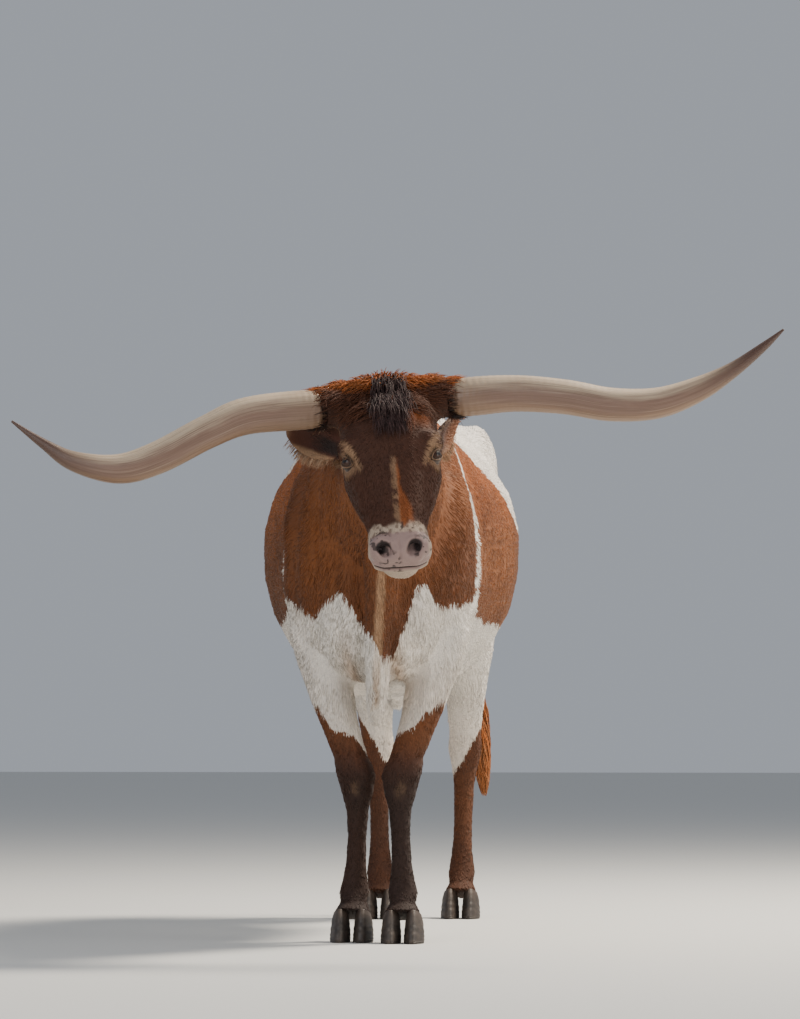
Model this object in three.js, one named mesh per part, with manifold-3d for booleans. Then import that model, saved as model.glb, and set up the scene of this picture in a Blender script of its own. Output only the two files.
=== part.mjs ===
// A standing texas longhorn at life size, in millimetres, +Z up.
// It faces -Y, its left side is +X, and its eight claws stand on the floor at z = 0.
// The flesh is one body, joined from lofts, and is then parted by thin cuts where a person names its parts.
import * as THREE from 'three';
import { mergeVertices } from 'three/addons/utils/BufferGeometryUtils.js';
import Module from 'manifold-3d';

const wasm = await Module();
wasm.setup();

// Driving dimensions
const cutGap = 0.4; // width of every thin cut between two parts
const pocketPlay = 0.9; // room round a horn, eye, ear, dewclaw or tail where it enters the flesh
const sliver = 0.05; // edges shorter than this, left by a cut, are closed up
const facetPlay = 3; // the joined flesh may stray this far from its lofts, which saves triangles
const floorToWithers = 1385;
const floorToHips = 1390;
const floorToBack = 1350;
const barrelHalfWidth = 342;
const chestFloor = 640;
const hindFeetBack = 1370; // from the fore feet line, y = 0, to the hind feet
const hindDrift = -10; // hindquarters stand this far to the right of the fore
const foreHoofSpread = 66; // foot centre from the midline
const hindHoofSpread = 112;
const clawHalfWidth = 26;
const clawApart = 29; // claw centre from the foot centre
const coronetHeight = 70;
const eyeRadius = 19;
const pollAt = new THREE.Vector3(64, -500, 1324); // middle of the line between the horn roots
const headYaw = THREE.MathUtils.degToRad(9.5); // horns turned towards the animal's left
const faceYaw = THREE.MathUtils.degToRad(5.5); // the face, turned less
const headRoll = THREE.MathUtils.degToRad(-4.7); // left horn raised
const headPitch = THREE.MathUtils.degToRad(-30); // nose line 30 degrees forward of hanging straight down

// Triangles are spent where the form turns quickest
const trunkMesh = { sides: 22, steps: 21 };
const neckMesh = { sides: 18, steps: 8 };
const foldMesh = { sides: 10, steps: 10 };
const headMesh = { sides: 18, steps: 14 };
const jawMesh = { sides: 12, steps: 7 };
const hornMesh = { sides: 12, steps: 16 };
const earMesh = { sides: 14, steps: 8 };
const legMesh = { sides: 12, steps: 17 };
const clawMesh = { sides: 12, steps: 3 };
const tailMesh = { sides: 10, steps: 14 };
const switchMesh = { sides: 10, steps: 10 };

const coat = (color, roughness) => new THREE.MeshStandardMaterial({ color, roughness, metalness: 0 });
const finishes = {
  head: coat(0x4a2a1e, 0.8),
  neck: coat(0x7a3f20, 0.8),
  trunk: coat(0xd9cfc4, 0.8),
  front: coat(0x3a231b, 0.8),
  hind: coat(0xd4c8ba, 0.8),
  ear: coat(0x6b3d27, 0.85),
  tail: coat(0xb0643a, 0.85),
  horn: coat(0xcdbfae, 0.45),
  eye: coat(0x120c09, 0.08),
  hoof: coat(0x2c2622, 0.5),
};

// Forms

// Catmull-Rom value of every field of a row of stations, at a share of its length.
function between(stations, share) {
  const place = share * (stations.length - 1);
  const i = Math.min(Math.floor(place), stations.length - 2);
  const t = place - i;
  const a = stations[Math.max(i - 1, 0)];
  const b = stations[i];
  const c = stations[i + 1];
  const d = stations[Math.min(i + 2, stations.length - 1)];
  const spline = (k) => {
    const slopeIn = (c[k] - a[k]) / 2;
    const slopeOut = (d[k] - b[k]) / 2;
    const bend = 3 * (c[k] - b[k]) - 2 * slopeIn - slopeOut;
    const twist = 2 * (b[k] - c[k]) + slopeIn + slopeOut;
    return b[k] + t * (slopeIn + t * (bend + t * twist));
  };
  return Object.fromEntries(Object.keys(b).map((k) => [k, spline(k)]));
}

// Signed power of a sine or cosine, which squares a circle off into a superellipse.
const blunted = (value, power) => Math.sign(value) * Math.abs(value) ** (2 / power);

// A closed body through cross-sections. ringAt gives for a share of the length the middle of the ring, its
// sideways and rising directions, its half width, its rise above and drop below the middle, and its bluntness.
function loft(ringAt, { sides, steps }) {
  const shape = new THREE.CylinderGeometry(1, 1, 1, sides, steps);
  const vertices = shape.attributes.position;
  const point = new THREE.Vector3();
  for (let i = 0; i < vertices.count; i += 1) {
    const share = THREE.MathUtils.clamp(vertices.getY(i) + 0.5, 0, 1);
    const radius = Math.min(1, Math.hypot(vertices.getX(i), vertices.getZ(i)));
    const angle = Math.atan2(vertices.getZ(i), vertices.getX(i));
    const ring = ringAt(share);
    const across = radius * ring.half * blunted(Math.cos(angle), ring.blunt);
    const height = Math.sin(angle) > 0 ? ring.rise : ring.drop;
    const up = radius * height * blunted(Math.sin(angle), ring.blunt);
    point.copy(ring.middle).addScaledVector(ring.sideways, across).addScaledVector(ring.rising, up);
    vertices.setXYZ(i, point.x, point.y, point.z);
  }
  return shape;
}

// The solid of a closed geometry, with its faces turned outwards.
function solidOf(geometry) {
  const bare = geometry.clone();
  bare.deleteAttribute('normal');
  bare.deleteAttribute('uv');
  const merged = mergeVertices(bare, 1e-3);
  const vertProperties = merged.attributes.position.array;
  const triVerts = new Uint32Array(merged.index.array);
  const solid = new wasm.Manifold(new wasm.Mesh({ numProp: 3, vertProperties, triVerts }));
  if (solid.volume() > 0) return solid;
  const turned = new Uint32Array(triVerts).reverse();
  return new wasm.Manifold(new wasm.Mesh({ numProp: 3, vertProperties, triVerts: turned }));
}

function geometryOf(solid) {
  const mesh = solid.getMesh();
  const geometry = new THREE.BufferGeometry();
  geometry.setAttribute('position', new THREE.BufferAttribute(new Float32Array(mesh.vertProperties), 3));
  geometry.setIndex(new THREE.BufferAttribute(new Uint32Array(mesh.triVerts), 1));
  geometry.computeVertexNormals();
  return geometry;
}

const joined = (solids) => solids.reduce((all, one) => all.add(one));

// The biggest body of a solid, without the slivers that a cut can leave.
function mainBody(solid) {
  return solid.decompose().reduce((most, one) => (one.volume() > most.volume() ? one : most)).simplify(sliver);
}

// An ellipsoid with its three half sizes, for a muscle, a bony knob, an eye or a dewclaw.
function knob(at, [halfX, halfY, halfZ], around = 8, matrix = new THREE.Matrix4()) {
  const shape = new THREE.SphereGeometry(1, around, Math.round(around * 0.67));
  shape.rotateX(Math.PI / 2);
  shape.scale(halfX, halfY, halfZ);
  shape.translate(...at);
  return solidOf(shape.applyMatrix4(matrix));
}

const lateral = new THREE.Vector3(1, 0, 0);
const upwards = new THREE.Vector3(0, 0, 1);
const forwards = new THREE.Vector3(0, -1, 0);
const place = (x, y, z) => new THREE.Vector3(x, y, z);
const bothSides = [['left', 1], ['right', -1]];

// Trunk, from breast to rump, bowed a little to the right. Each station: middle sideways and back, top and
// bottom line, half width, height of that widest place, and bluntness.
const trunkStations = [
  { x: 0, y: -305, top: 1020, bottom: 820, half: 50, wide: 910, blunt: 2 }, // point of the breast
  { x: 0, y: -225, top: 1180, bottom: 715, half: 150, wide: 930, blunt: 2.1 },
  { x: 0, y: -100, top: 1310, bottom: 655, half: 212, wide: 950, blunt: 2.1 }, // points of the shoulders
  { x: -2, y: 50, top: floorToWithers, bottom: chestFloor, half: 236, wide: 950, blunt: 2.1 }, // withers
  { x: -12, y: 230, top: 1378, bottom: 628, half: 262, wide: 960, blunt: 2.1 }, // heart girth
  { x: -27, y: 480, top: 1354, bottom: 612, half: 314, wide: 985, blunt: 2.1 },
  { x: -32, y: 720, top: floorToBack, bottom: 618, half: barrelHalfWidth, wide: 1000, blunt: 2.1 }, // barrel
  { x: -29, y: 930, top: 1364, bottom: 668, half: 316, wide: 1015, blunt: 2.2 }, // flank
  { x: -22, y: 1100, top: floorToHips, bottom: 760, half: 262, wide: 1090, blunt: 2.5 }, // hooks
  { x: -15, y: 1270, top: 1380, bottom: 820, half: 246, wide: 1080, blunt: 2.4 },
  { x: -11, y: 1410, top: 1345, bottom: 870, half: 205, wide: 1080, blunt: 2.2 },
  { x: -10, y: 1495, top: 1285, bottom: 960, half: 135, wide: 1110, blunt: 2.1 }, // pin bones
  { x: -10, y: 1530, top: 1210, bottom: 1040, half: 60, wide: 1130, blunt: 2 },
];

function trunk() {
  const ringAt = (share) => {
    const s = between(trunkStations, share);
    return {
      middle: place(s.x, s.y, s.wide),
      sideways: lateral,
      rising: upwards,
      half: s.half,
      rise: s.top - s.wide,
      drop: s.wide - s.bottom,
      blunt: s.blunt,
    };
  };
  const pieces = [solidOf(loft(ringAt, trunkMesh))];
  for (const [, side] of bothSides) {
    pieces.push(knob([side * 158, 10, 960], [92, 165, 250])); // shoulder
    pieces.push(knob([side * 184 - 22, 1090, 1280], [54, 110, 84])); // hook bone
    pieces.push(knob([side * 80 + hindDrift, 1458, 1226], [50, 60, 66])); // pin bone
  }
  pieces.push(knob([-30, 830, 626], [26, 120, 44])); // navel fold
  return pieces;
}

// Neck, from inside the shoulders to inside the head.
const neckStations = [
  { x: 0, y: 160, z: 1030, half: 185, rise: 290, drop: 300 },
  { x: 4, y: -20, z: 1060, half: 184, rise: 296, drop: 300 },
  { x: 18, y: -170, z: 1110, half: 164, rise: 246, drop: 262 },
  { x: 40, y: -300, z: 1162, half: 138, rise: 206, drop: 200 },
  { x: 56, y: -405, z: 1200, half: 120, rise: 172, drop: 162 },
  { x: 64, y: -480, z: 1205, half: 96, rise: 130, drop: 120 },
  { x: 66, y: -520, z: 1200, half: 50, rise: 60, drop: 60 },
];

// Dewlap, a fold of loose hide from the throat to between the forelegs, in level slices from the top down.
const dewlapStations = [
  { y: -395, z: 1090, half: 46, front: 40, back: 80 },
  { y: -345, z: 990, half: 46, front: 72, back: 110 },
  { y: -285, z: 880, half: 42, front: 92, back: 120 },
  { y: -225, z: 770, half: 36, front: 104, back: 130 },
  { y: -170, z: 670, half: 28, front: 106, back: 140 },
  { y: -120, z: 590, half: 21, front: 84, back: 120 },
  { y: -95, z: 545, half: 12, front: 30, back: 40 },
];

function neck() {
  const rising = place(0, 0.3, 0.954).normalize();
  const ringAt = (share) => {
    const s = between(neckStations, share);
    return { ...s, middle: place(s.x, s.y, s.z), sideways: lateral, rising, blunt: 2.1 };
  };
  const foldAt = (share) => {
    const s = between(dewlapStations, share);
    const sway = THREE.MathUtils.mapLinear(s.z, 545, 1090, 0, 52);
    return {
      middle: place(sway, s.y, s.z),
      sideways: lateral,
      rising: forwards,
      half: s.half,
      rise: s.front,
      drop: s.back,
      blunt: 2,
    };
  };
  return [solidOf(loft(ringAt, neckMesh)), solidOf(loft(foldAt, foldMesh))];
}

// Head, in its own frame: -Z runs from the poll down to the nose, -Y out of the forehead.
const headFrame = new THREE.Matrix4().compose(
  pollAt,
  new THREE.Quaternion().setFromEuler(new THREE.Euler(headPitch, headRoll, faceYaw, 'ZYX')),
  place(1, 1, 1),
);
// The horns' frame, without the nod and turned a little further, in which horns and ears are laid out.
const hornFrame = new THREE.Matrix4().compose(
  pollAt,
  new THREE.Quaternion().setFromEuler(new THREE.Euler(0, headRoll, headYaw, 'ZYX')),
  place(1, 1, 1),
);

// Skull and face: height along the head, half width, forehead side, throat side, depth of the widest place.
const faceStations = [
  { z: 50, half: 60, front: -14, back: 60, mid: 24, blunt: 2 }, // poll
  { z: 30, half: 112, front: -50, back: 92, mid: 24, blunt: 2.1 },
  { z: -20, half: 124, front: -76, back: 120, mid: 20, blunt: 2.3 },
  { z: -80, half: 117, front: -87, back: 145, mid: 20, blunt: 2.5 },
  { z: -140, half: 119, front: -90, back: 160, mid: 8, blunt: 2.5 },
  { z: -190, half: 119, front: -85, back: 160, mid: 15, blunt: 2.4 }, // orbits
  { z: -240, half: 104, front: -77, back: 150, mid: 25, blunt: 2.3 },
  { z: -290, half: 88, front: -69, back: 118, mid: 22, blunt: 2.3 },
  { z: -335, half: 76, front: -62, back: 92, mid: 18, blunt: 2.4 },
  { z: -378, half: 70, front: -57, back: 74, mid: 12, blunt: 2.6 },
  { z: -415, half: 73, front: -54, back: 60, mid: 6, blunt: 2.9 }, // nostrils
  { z: -446, half: 69, front: -46, back: 46, mid: 4, blunt: 2.9 },
  { z: -464, half: 44, front: -26, back: 26, mid: 2, blunt: 2.6 },
];

const jawStations = [
  { z: -70, half: 62, front: 30, back: 140, mid: 90, blunt: 2 },
  { z: -150, half: 84, front: 30, back: 188, mid: 100, blunt: 2 },
  { z: -220, half: 82, front: 30, back: 202, mid: 100, blunt: 2 }, // jaw angle
  { z: -290, half: 63, front: 20, back: 172, mid: 90, blunt: 2 },
  { z: -350, half: 49, front: 10, back: 138, mid: 70, blunt: 2 },
  { z: -400, half: 45, front: 10, back: 110, mid: 58, blunt: 2.1 },
  { z: -436, half: 45, front: 10, back: 92, mid: 50, blunt: 2.3 }, // chin
  { z: -456, half: 26, front: 24, back: 72, mid: 48, blunt: 2.2 },
];

function headRing(stations) {
  return (share) => {
    const s = between(stations, share);
    return {
      middle: place(0, s.mid, s.z),
      sideways: lateral,
      rising: forwards,
      half: s.half,
      rise: s.mid - s.front,
      drop: s.back - s.mid,
      blunt: s.blunt,
    };
  };
}

const eyeAt = [99, -30, -184];
const socketAt = [121, -46, -185];

function head() {
  const pieces = [
    solidOf(loft(headRing(faceStations), headMesh).applyMatrix4(headFrame)),
    solidOf(loft(headRing(jawStations), jawMesh).applyMatrix4(headFrame)),
    knob([0, 15, 38], [150, 58, 48], 12, hornFrame), // hair on the poll
  ];
  for (const [, side] of bothSides) {
    pieces.push(knob([side * 96, -40, -150], [32, 34, 34], 8, headFrame)); // brow
    pieces.push(knob([side * 66, 60, -210], [34, 92, 80], 8, headFrame)); // cheek
    pieces.push(knob([side * 46, -20, -428], [32, 36, 30], 8, headFrame)); // nostril wing
    const boss = new THREE.CylinderGeometry(47, 58, 112, 12, 1);
    boss.rotateZ(-side * Math.PI / 2).translate(side * 122, 7, 0.5);
    pieces.push(solidOf(boss.applyMatrix4(hornFrame))); // haired root of the horn
  }
  let whole = joined(pieces);
  for (const [, side] of bothSides) {
    const [x, y, z] = socketAt;
    whole = whole.subtract(knob([side * x, y, z], [20, 22, 13], 8, headFrame));
    whole = whole.subtract(knob([side * 36, -42, -449], [12, 16, 16], 8, headFrame)); // nostril
  }
  const lips = knob([0, 16, -474], [58, 4, 26], 8, headFrame);
  return whole.subtract(lips);
}

// Here and below, extra is the play of the pocket that a loose part sits in, or nothing for the part itself.
function eye(side, extra = 0) {
  const [x, y, z] = eyeAt;
  const r = eyeRadius + extra;
  return knob([side * x, y, z], [r, r, r], 10, headFrame);
}

// Horns: distance out from the poll, rise, forward sweep and radius. The right horn droops and turns up late,
// the left one runs level and rises to its tip.
const hornStations = {
  right: [
    { out: 148, rise: 0, forward: 0, radius: 45 },
    { out: 183, rise: -1, forward: 0, radius: 46.5 },
    { out: 340, rise: -6, forward: 22, radius: 45 },
    { out: 441, rise: -39, forward: 44, radius: 41 },
    { out: 567, rise: -93, forward: 64, radius: 39 },
    { out: 662, rise: -112, forward: 74, radius: 35 },
    { out: 764, rise: -86, forward: 78, radius: 24 },
    { out: 832, rise: -39, forward: 76, radius: 12.5 },
    { out: 905, rise: 22, forward: 70, radius: 2.5 },
  ],
  left: [
    { out: 148, rise: 0, forward: 0, radius: 45 },
    { out: 192, rise: 0, forward: 0, radius: 46.5 },
    { out: 312, rise: -2, forward: 18, radius: 44.5 },
    { out: 430, rise: -21, forward: 40, radius: 42.5 },
    { out: 538, rise: -49, forward: 58, radius: 40.5 },
    { out: 648, rise: -55, forward: 70, radius: 37 },
    { out: 748, rise: -30, forward: 76, radius: 30 },
    { out: 836, rise: 10, forward: 78, radius: 19 },
    { out: 917, rise: 61, forward: 76, radius: 10.5 },
    { out: 970, rise: 99, forward: 72, radius: 2.5 },
  ],
};

// A round tube whose rings stand square to its path. pathAt gives a middle and a radius for a share.
function squareTube(pathAt, level, mesh, extra) {
  const step = 0.01;
  const ringAt = (share) => {
    const { middle, radius } = pathAt(share);
    const ahead = pathAt(Math.min(1, share + step)).middle;
    const behind = pathAt(Math.max(0, share - step)).middle;
    const along = ahead.clone().sub(behind).normalize();
    const sideways = level.clone().cross(along).normalize();
    const rising = along.clone().cross(sideways).normalize();
    const r = radius + extra;
    if (share === 0) middle.addScaledVector(along, -extra);
    return { middle, sideways, rising, half: r, rise: r, drop: r, blunt: 2 };
  };
  return loft(ringAt, mesh);
}

function horn(name, side, extra = 0) {
  const pathAt = (share) => {
    const s = between(hornStations[name], share);
    return { middle: place(side * s.out, -s.forward, s.rise), radius: s.radius };
  };
  return solidOf(squareTube(pathAt, upwards, hornMesh, extra).applyMatrix4(hornFrame));
}

// Ears: a cupped leaf from root to tip, in the horn frame. The right ear stands out below its horn, the left
// one is laid back.
const earPaths = {
  right: { root: place(-108, 26, -108), tip: place(-241, 132, -42), facing: place(-0.25, -0.95, -0.2) },
  left: { root: place(108, 26, -118), tip: place(192, 182, -44), facing: place(0.85, -0.45, -0.3) },
};
const earStations = [
  { share: 0, half: 26, thick: 16, cup: 0 },
  { share: 0.2, half: 34, thick: 12, cup: 14 },
  { share: 0.45, half: 45, thick: 8, cup: 24 },
  { share: 0.7, half: 40, thick: 6.5, cup: 18 },
  { share: 0.9, half: 22, thick: 5.5, cup: 7 },
  { share: 1, half: 5, thick: 4, cup: 0 },
];

function ear(name, extra = 0) {
  const { root, tip, facing } = earPaths[name];
  const along = tip.clone().sub(root);
  const across = along.clone().cross(facing).normalize();
  const outwards = across.clone().cross(along).normalize();
  const shape = new THREE.CylinderGeometry(1, 1, 1, earMesh.sides, earMesh.steps);
  const vertices = shape.attributes.position;
  const point = new THREE.Vector3();
  for (let i = 0; i < vertices.count; i += 1) {
    const s = between(earStations, THREE.MathUtils.clamp(vertices.getY(i) + 0.5, 0, 1));
    const sideways = vertices.getX(i);
    const depth = vertices.getZ(i) * (s.thick + extra) + s.cup * (sideways * sideways - 0.5);
    const deeper = s.share === 0 ? extra / along.length() : 0;
    point.copy(root).addScaledVector(along, s.share - deeper);
    point.addScaledVector(across, sideways * (s.half + extra)).addScaledVector(outwards, depth);
    vertices.setXYZ(i, point.x, point.y, point.z);
  }
  return solidOf(shape.applyMatrix4(hornFrame));
}

// Legs in level slices, from inside the trunk to the coronet. Each station: x out from the midline, y, z,
// half width, depth in front, depth behind, and the slope of the slice.
const forelegStations = [
  { x: 140, y: 30, z: 960, half: 70, front: 120, back: 130, slope: 0 },
  { x: 152, y: 30, z: 850, half: 84, front: 122, back: 132, slope: 0 },
  { x: 148, y: 28, z: 760, half: 80, front: 104, back: 122, slope: 0 },
  { x: 134, y: 22, z: 675, half: 68, front: 84, back: 104, slope: 0 }, // elbow
  { x: 116, y: 8, z: 600, half: 54, front: 62, back: 68, slope: 0 },
  { x: 94, y: 0, z: 525, half: 45, front: 52, back: 50, slope: 0 }, // forearm
  { x: 72, y: -2, z: 465, half: 45, front: 48, back: 42, slope: 0 },
  { x: 59, y: -2, z: 420, half: 47, front: 49, back: 42, slope: 0 }, // knee
  { x: 56, y: 2, z: 372, half: 40, front: 42, back: 40, slope: 0 },
  { x: 56, y: 5, z: 322, half: 27, front: 32, back: 33, slope: 0 },
  { x: 58, y: 6, z: 240, half: 23.5, front: 27, back: 30, slope: 0 }, // cannon
  { x: 61, y: 5, z: 178, half: 27, front: 29, back: 33, slope: 0 },
  { x: 63, y: 3, z: 142, half: 34, front: 33, back: 40, slope: 0.05 }, // fetlock
  { x: 64, y: -10, z: 108, half: 33, front: 32, back: 38, slope: 0.15 },
  { x: 65, y: -24, z: 84, half: 40, front: 36, back: 42, slope: 0.3 },
  { x: foreHoofSpread, y: -32, z: coronetHeight, half: 50, front: 44, back: 48, slope: 0.36 }, // coronet
];

const hindlegStations = [
  { x: 110, y: 1240, z: 1160, half: 92, front: 170, back: 190, slope: 0 },
  { x: 128, y: 1265, z: 1040, half: 108, front: 190, back: 205, slope: 0 },
  { x: 136, y: 1262, z: 920, half: 104, front: 190, back: 180, slope: 0 },
  { x: 136, y: 1262, z: 810, half: 92, front: 160, back: 150, slope: 0 }, // stifle
  { x: 132, y: 1292, z: 700, half: 70, front: 108, back: 118, slope: 0 },
  { x: 127, y: 1345, z: 605, half: 54, front: 66, back: 88, slope: 0 }, // gaskin
  { x: 124, y: 1390, z: 535, half: 45, front: 50, back: 74, slope: 0 },
  { x: 122, y: 1412, z: 480, half: 44, front: 50, back: 60, slope: 0 }, // hock
  { x: 120, y: 1418, z: 425, half: 37, front: 44, back: 46, slope: 0 },
  { x: 118, y: 1416, z: 365, half: 28, front: 33, back: 37, slope: 0 },
  { x: 115, y: 1408, z: 270, half: 25, front: 29, back: 33, slope: 0 }, // cannon
  { x: 114, y: 1402, z: 190, half: 28, front: 31, back: 35, slope: 0 },
  { x: 113, y: 1398, z: 146, half: 34, front: 34, back: 41, slope: 0.05 }, // fetlock
  { x: 112, y: 1386, z: 110, half: 33, front: 33, back: 39, slope: 0.15 },
  { x: 112, y: 1372, z: 85, half: 39, front: 36, back: 42, slope: 0.3 },
  { x: hindHoofSpread, y: hindFeetBack - 6, z: coronetHeight, half: 48, front: 43, back: 47, slope: 0.36 },
];

// How far each foot stands ahead of its mate's line, and how far its leg drifts sideways.
const feet = [
  { name: 'front_left', side: 1, stations: forelegStations, ahead: 30, hoofY: -32, drift: 0 },
  { name: 'front_right', side: -1, stations: forelegStations, ahead: -20, hoofY: -32, drift: 0 },
  { name: 'hind_left', side: 1, stations: hindlegStations, ahead: -18, hoofY: hindFeetBack - 6, drift: hindDrift },
  { name: 'hind_right', side: -1, stations: hindlegStations, ahead: 22, hoofY: hindFeetBack - 6, drift: hindDrift },
];

// A foot set ahead takes the leg with it, less and less towards the trunk.
const strideAt = (z, ahead) => ahead * THREE.MathUtils.smoothstep(800 - z, 0, 560);

function leg({ side, stations, ahead, drift }) {
  const ringAt = (share) => {
    const s = between(stations, share);
    return {
      middle: place(side * s.x + drift, s.y - strideAt(s.z, ahead), s.z),
      sideways: lateral,
      rising: place(0, -1, s.slope),
      half: s.half,
      rise: s.front,
      drop: s.back,
      blunt: 2.15,
    };
  };
  return solidOf(loft(ringAt, legMesh));
}

// A claw stands on its flat sole and slopes back to the coronet.
const clawStations = [
  { y: -14, z: 0, half: clawHalfWidth, front: 62, back: 50, slope: 0 },
  { y: -12, z: 6, half: clawHalfWidth + 0.5, front: 62, back: 51, slope: 0.02 },
  { y: -5, z: 35, half: clawHalfWidth - 1, front: 54, back: 50, slope: 0.2 },
  { y: 0, z: coronetHeight - 1, half: clawHalfWidth - 3, front: 42, back: 46, slope: 0.36 },
];

function claw({ side, stations, ahead, hoofY, drift }, apart) {
  const footX = side * stations.at(-1).x + drift;
  const toeIn = -apart * 0.05;
  const ringAt = (share) => {
    const s = between(clawStations, share);
    return {
      middle: place(footX + apart * clawApart, hoofY + s.y - ahead, s.z),
      sideways: lateral,
      rising: place(toeIn, -1, s.slope),
      half: s.half,
      rise: s.front,
      drop: s.back,
      blunt: 2.3,
    };
  };
  return solidOf(loft(ringAt, clawMesh));
}

function dewclaw({ side, stations, ahead, drift }, apart, extra = 0) {
  const fetlock = stations.at(-4);
  const back = fetlock.y + fetlock.back - strideAt(fetlock.z, ahead) - 4;
  const at = [side * fetlock.x + drift + apart * 19, back, fetlock.z - 18];
  return knob(at, [11 + extra, 10 + extra, 15 + extra], 6);
}

// Tail, hanging from the rump and swung a little to the animal's left, with its long switch.
const tailStations = [
  { x: 0, y: 1440, z: 1330, radius: 42 },
  { x: 0, y: 1510, z: 1320, radius: 36 },
  { x: 4, y: 1566, z: 1240, radius: 28 },
  { x: 14, y: 1582, z: 1100, radius: 23 },
  { x: 36, y: 1588, z: 950, radius: 20 },
  { x: 74, y: 1592, z: 800, radius: 17 },
  { x: 116, y: 1592, z: 690, radius: 16 },
];
const switchStations = [
  { x: 112, y: 1592, z: 712, radius: 19 },
  { x: 130, y: 1592, z: 650, radius: 25 },
  { x: 146, y: 1590, z: 570, radius: 31 },
  { x: 155, y: 1588, z: 480, radius: 29 },
  { x: 160, y: 1586, z: 390, radius: 19 },
  { x: 163, y: 1585, z: 330, radius: 5 },
];

function hanging(stations, mesh, extra = 0) {
  const pathAt = (share) => {
    const s = between(stations, share);
    return { middle: place(s.x + hindDrift, s.y, s.z), radius: s.radius };
  };
  return solidOf(squareTube(pathAt, lateral, mesh, extra));
}

// Thin cuts: each block holds one part whole, and is placed by its middle, size and turn.
const blocks = {
  head: [{ at: [66, -915, 1250], size: [700, 1000, 760], turn: [0, 0, headYaw * 0.8] }],
  neck: [{ at: [20, -628, 1290], size: [900, 900, 1500], turn: [THREE.MathUtils.degToRad(-27), 0, 0] }],
  // A leg's upright block stops at the midline, and its slanting one sets the height of the cut, which is higher
  // on the outside. A steep one keeps the foreleg's block clear of the dewlap.
  front: [
    { at: [300.5, 30, 500], size: [600, 420, 1200], turn: [0, 0, 0] },
    { at: [1033, 30, 529], size: [2400, 900, 2000], turn: [0, THREE.MathUtils.degToRad(-80), 0] },
    { at: [612, 30, -124], size: [2400, 900, 2000], turn: [0, THREE.MathUtils.degToRad(-32), 0] },
  ],
  hind: [
    { at: [308, 1330, 600], size: [600, 640, 1400], turn: [0, 0, 0] },
    { at: [592, 1330, 46], size: [2400, 900, 2000], turn: [0, THREE.MathUtils.degToRad(-30), 0] },
  ],
};

// The room that a part's blocks share, with room to spare on every face.
function roomOf(list, side, spare) {
  const rooms = list.map(({ at, size, turn }) => {
    const shape = new THREE.BoxGeometry(...size.map((length) => length + 2 * spare));
    shape.applyMatrix4(new THREE.Matrix4().makeRotationFromEuler(new THREE.Euler(...turn)));
    shape.translate(...at);
    if (side < 0) shape.scale(-1, 1, 1);
    return solidOf(shape);
  });
  return rooms.reduce((all, one) => all.intersect(one));
}

// Assembly
const animal = new THREE.Group();

function add(name, solid, material) {
  const mesh = new THREE.Mesh(geometryOf(solid), material);
  mesh.name = name;
  animal.add(mesh);
}

// Each loose part is made by a function of its pocket's play, so that the flesh gives it room.
const loose = [];
for (const [name, side] of bothSides) {
  loose.push({ name: `eye_${name}`, make: (extra) => eye(side, extra), finish: finishes.eye });
  loose.push({ name: `horn_${name}`, make: (extra) => horn(name, side, extra), finish: finishes.horn });
  loose.push({ name: `ear_${name}`, make: (extra) => ear(name, extra), finish: finishes.ear });
}
for (const foot of feet) {
  for (const [which, apart] of [['outer', foot.side], ['inner', -foot.side]]) {
    const name = `dewclaw_${foot.name}_${which}`;
    loose.push({ name, make: (extra) => dewclaw(foot, apart, extra), finish: finishes.hoof });
    add(`claw_${foot.name}_${which}`, claw(foot, apart), finishes.hoof);
  }
}
const tail = (extra) => hanging(tailStations, tailMesh, extra);
add('tail', mainBody(tail(0).subtract(hanging(switchStations, switchMesh, pocketPlay))), finishes.tail);
add('tail_switch', hanging(switchStations, switchMesh), finishes.tail);

let flesh = joined([...trunk(), ...neck(), head(), ...feet.map(leg)]).simplify(facetPlay);
flesh = flesh.subtract(tail(pocketPlay));
for (const { name, make, finish } of loose) {
  flesh = flesh.subtract(make(pocketPlay));
  add(name, make(0), finish);
}

// Takes what is in the blocks' room out of the flesh that is left, with a thin cut between the two.
function partOff(list, side = 1) {
  const part = mainBody(flesh.intersect(roomOf(list, side, 0)));
  flesh = flesh.subtract(roomOf(list, side, cutGap));
  return part;
}

add('head', partOff(blocks.head), finishes.head);
add('neck', partOff(blocks.neck), finishes.neck);
for (const foot of feet) {
  const end = foot.name.split('_')[0];
  add(`leg_${foot.name}`, partOff(blocks[end], foot.side), finishes[end]);
}
add('trunk', mainBody(flesh), finishes.trunk);

// The origin is on the floor, under the middle of the whole animal's box.
const box = new THREE.Box3().setFromObject(animal);
const middle = box.getCenter(new THREE.Vector3());
animal.position.set(-middle.x, -middle.y, -box.min.z);
animal.name = 'texas_longhorn';

export default animal;
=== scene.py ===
import math

import bmesh
import bpy
import numpy as np
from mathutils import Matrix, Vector


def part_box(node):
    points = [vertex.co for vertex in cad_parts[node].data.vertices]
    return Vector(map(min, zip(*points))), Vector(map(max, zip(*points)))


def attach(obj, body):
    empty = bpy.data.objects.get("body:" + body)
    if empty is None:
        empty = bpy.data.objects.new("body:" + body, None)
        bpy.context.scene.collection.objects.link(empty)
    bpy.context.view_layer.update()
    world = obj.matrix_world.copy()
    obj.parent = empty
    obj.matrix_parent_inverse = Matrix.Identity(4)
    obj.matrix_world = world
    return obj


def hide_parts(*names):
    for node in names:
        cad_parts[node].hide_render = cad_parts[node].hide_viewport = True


# A standing texas longhorn in its short coat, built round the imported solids.
# Lengths are metres in the frame's own axes: the animal faces -Y, its left side is +X, +Z is up.

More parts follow.
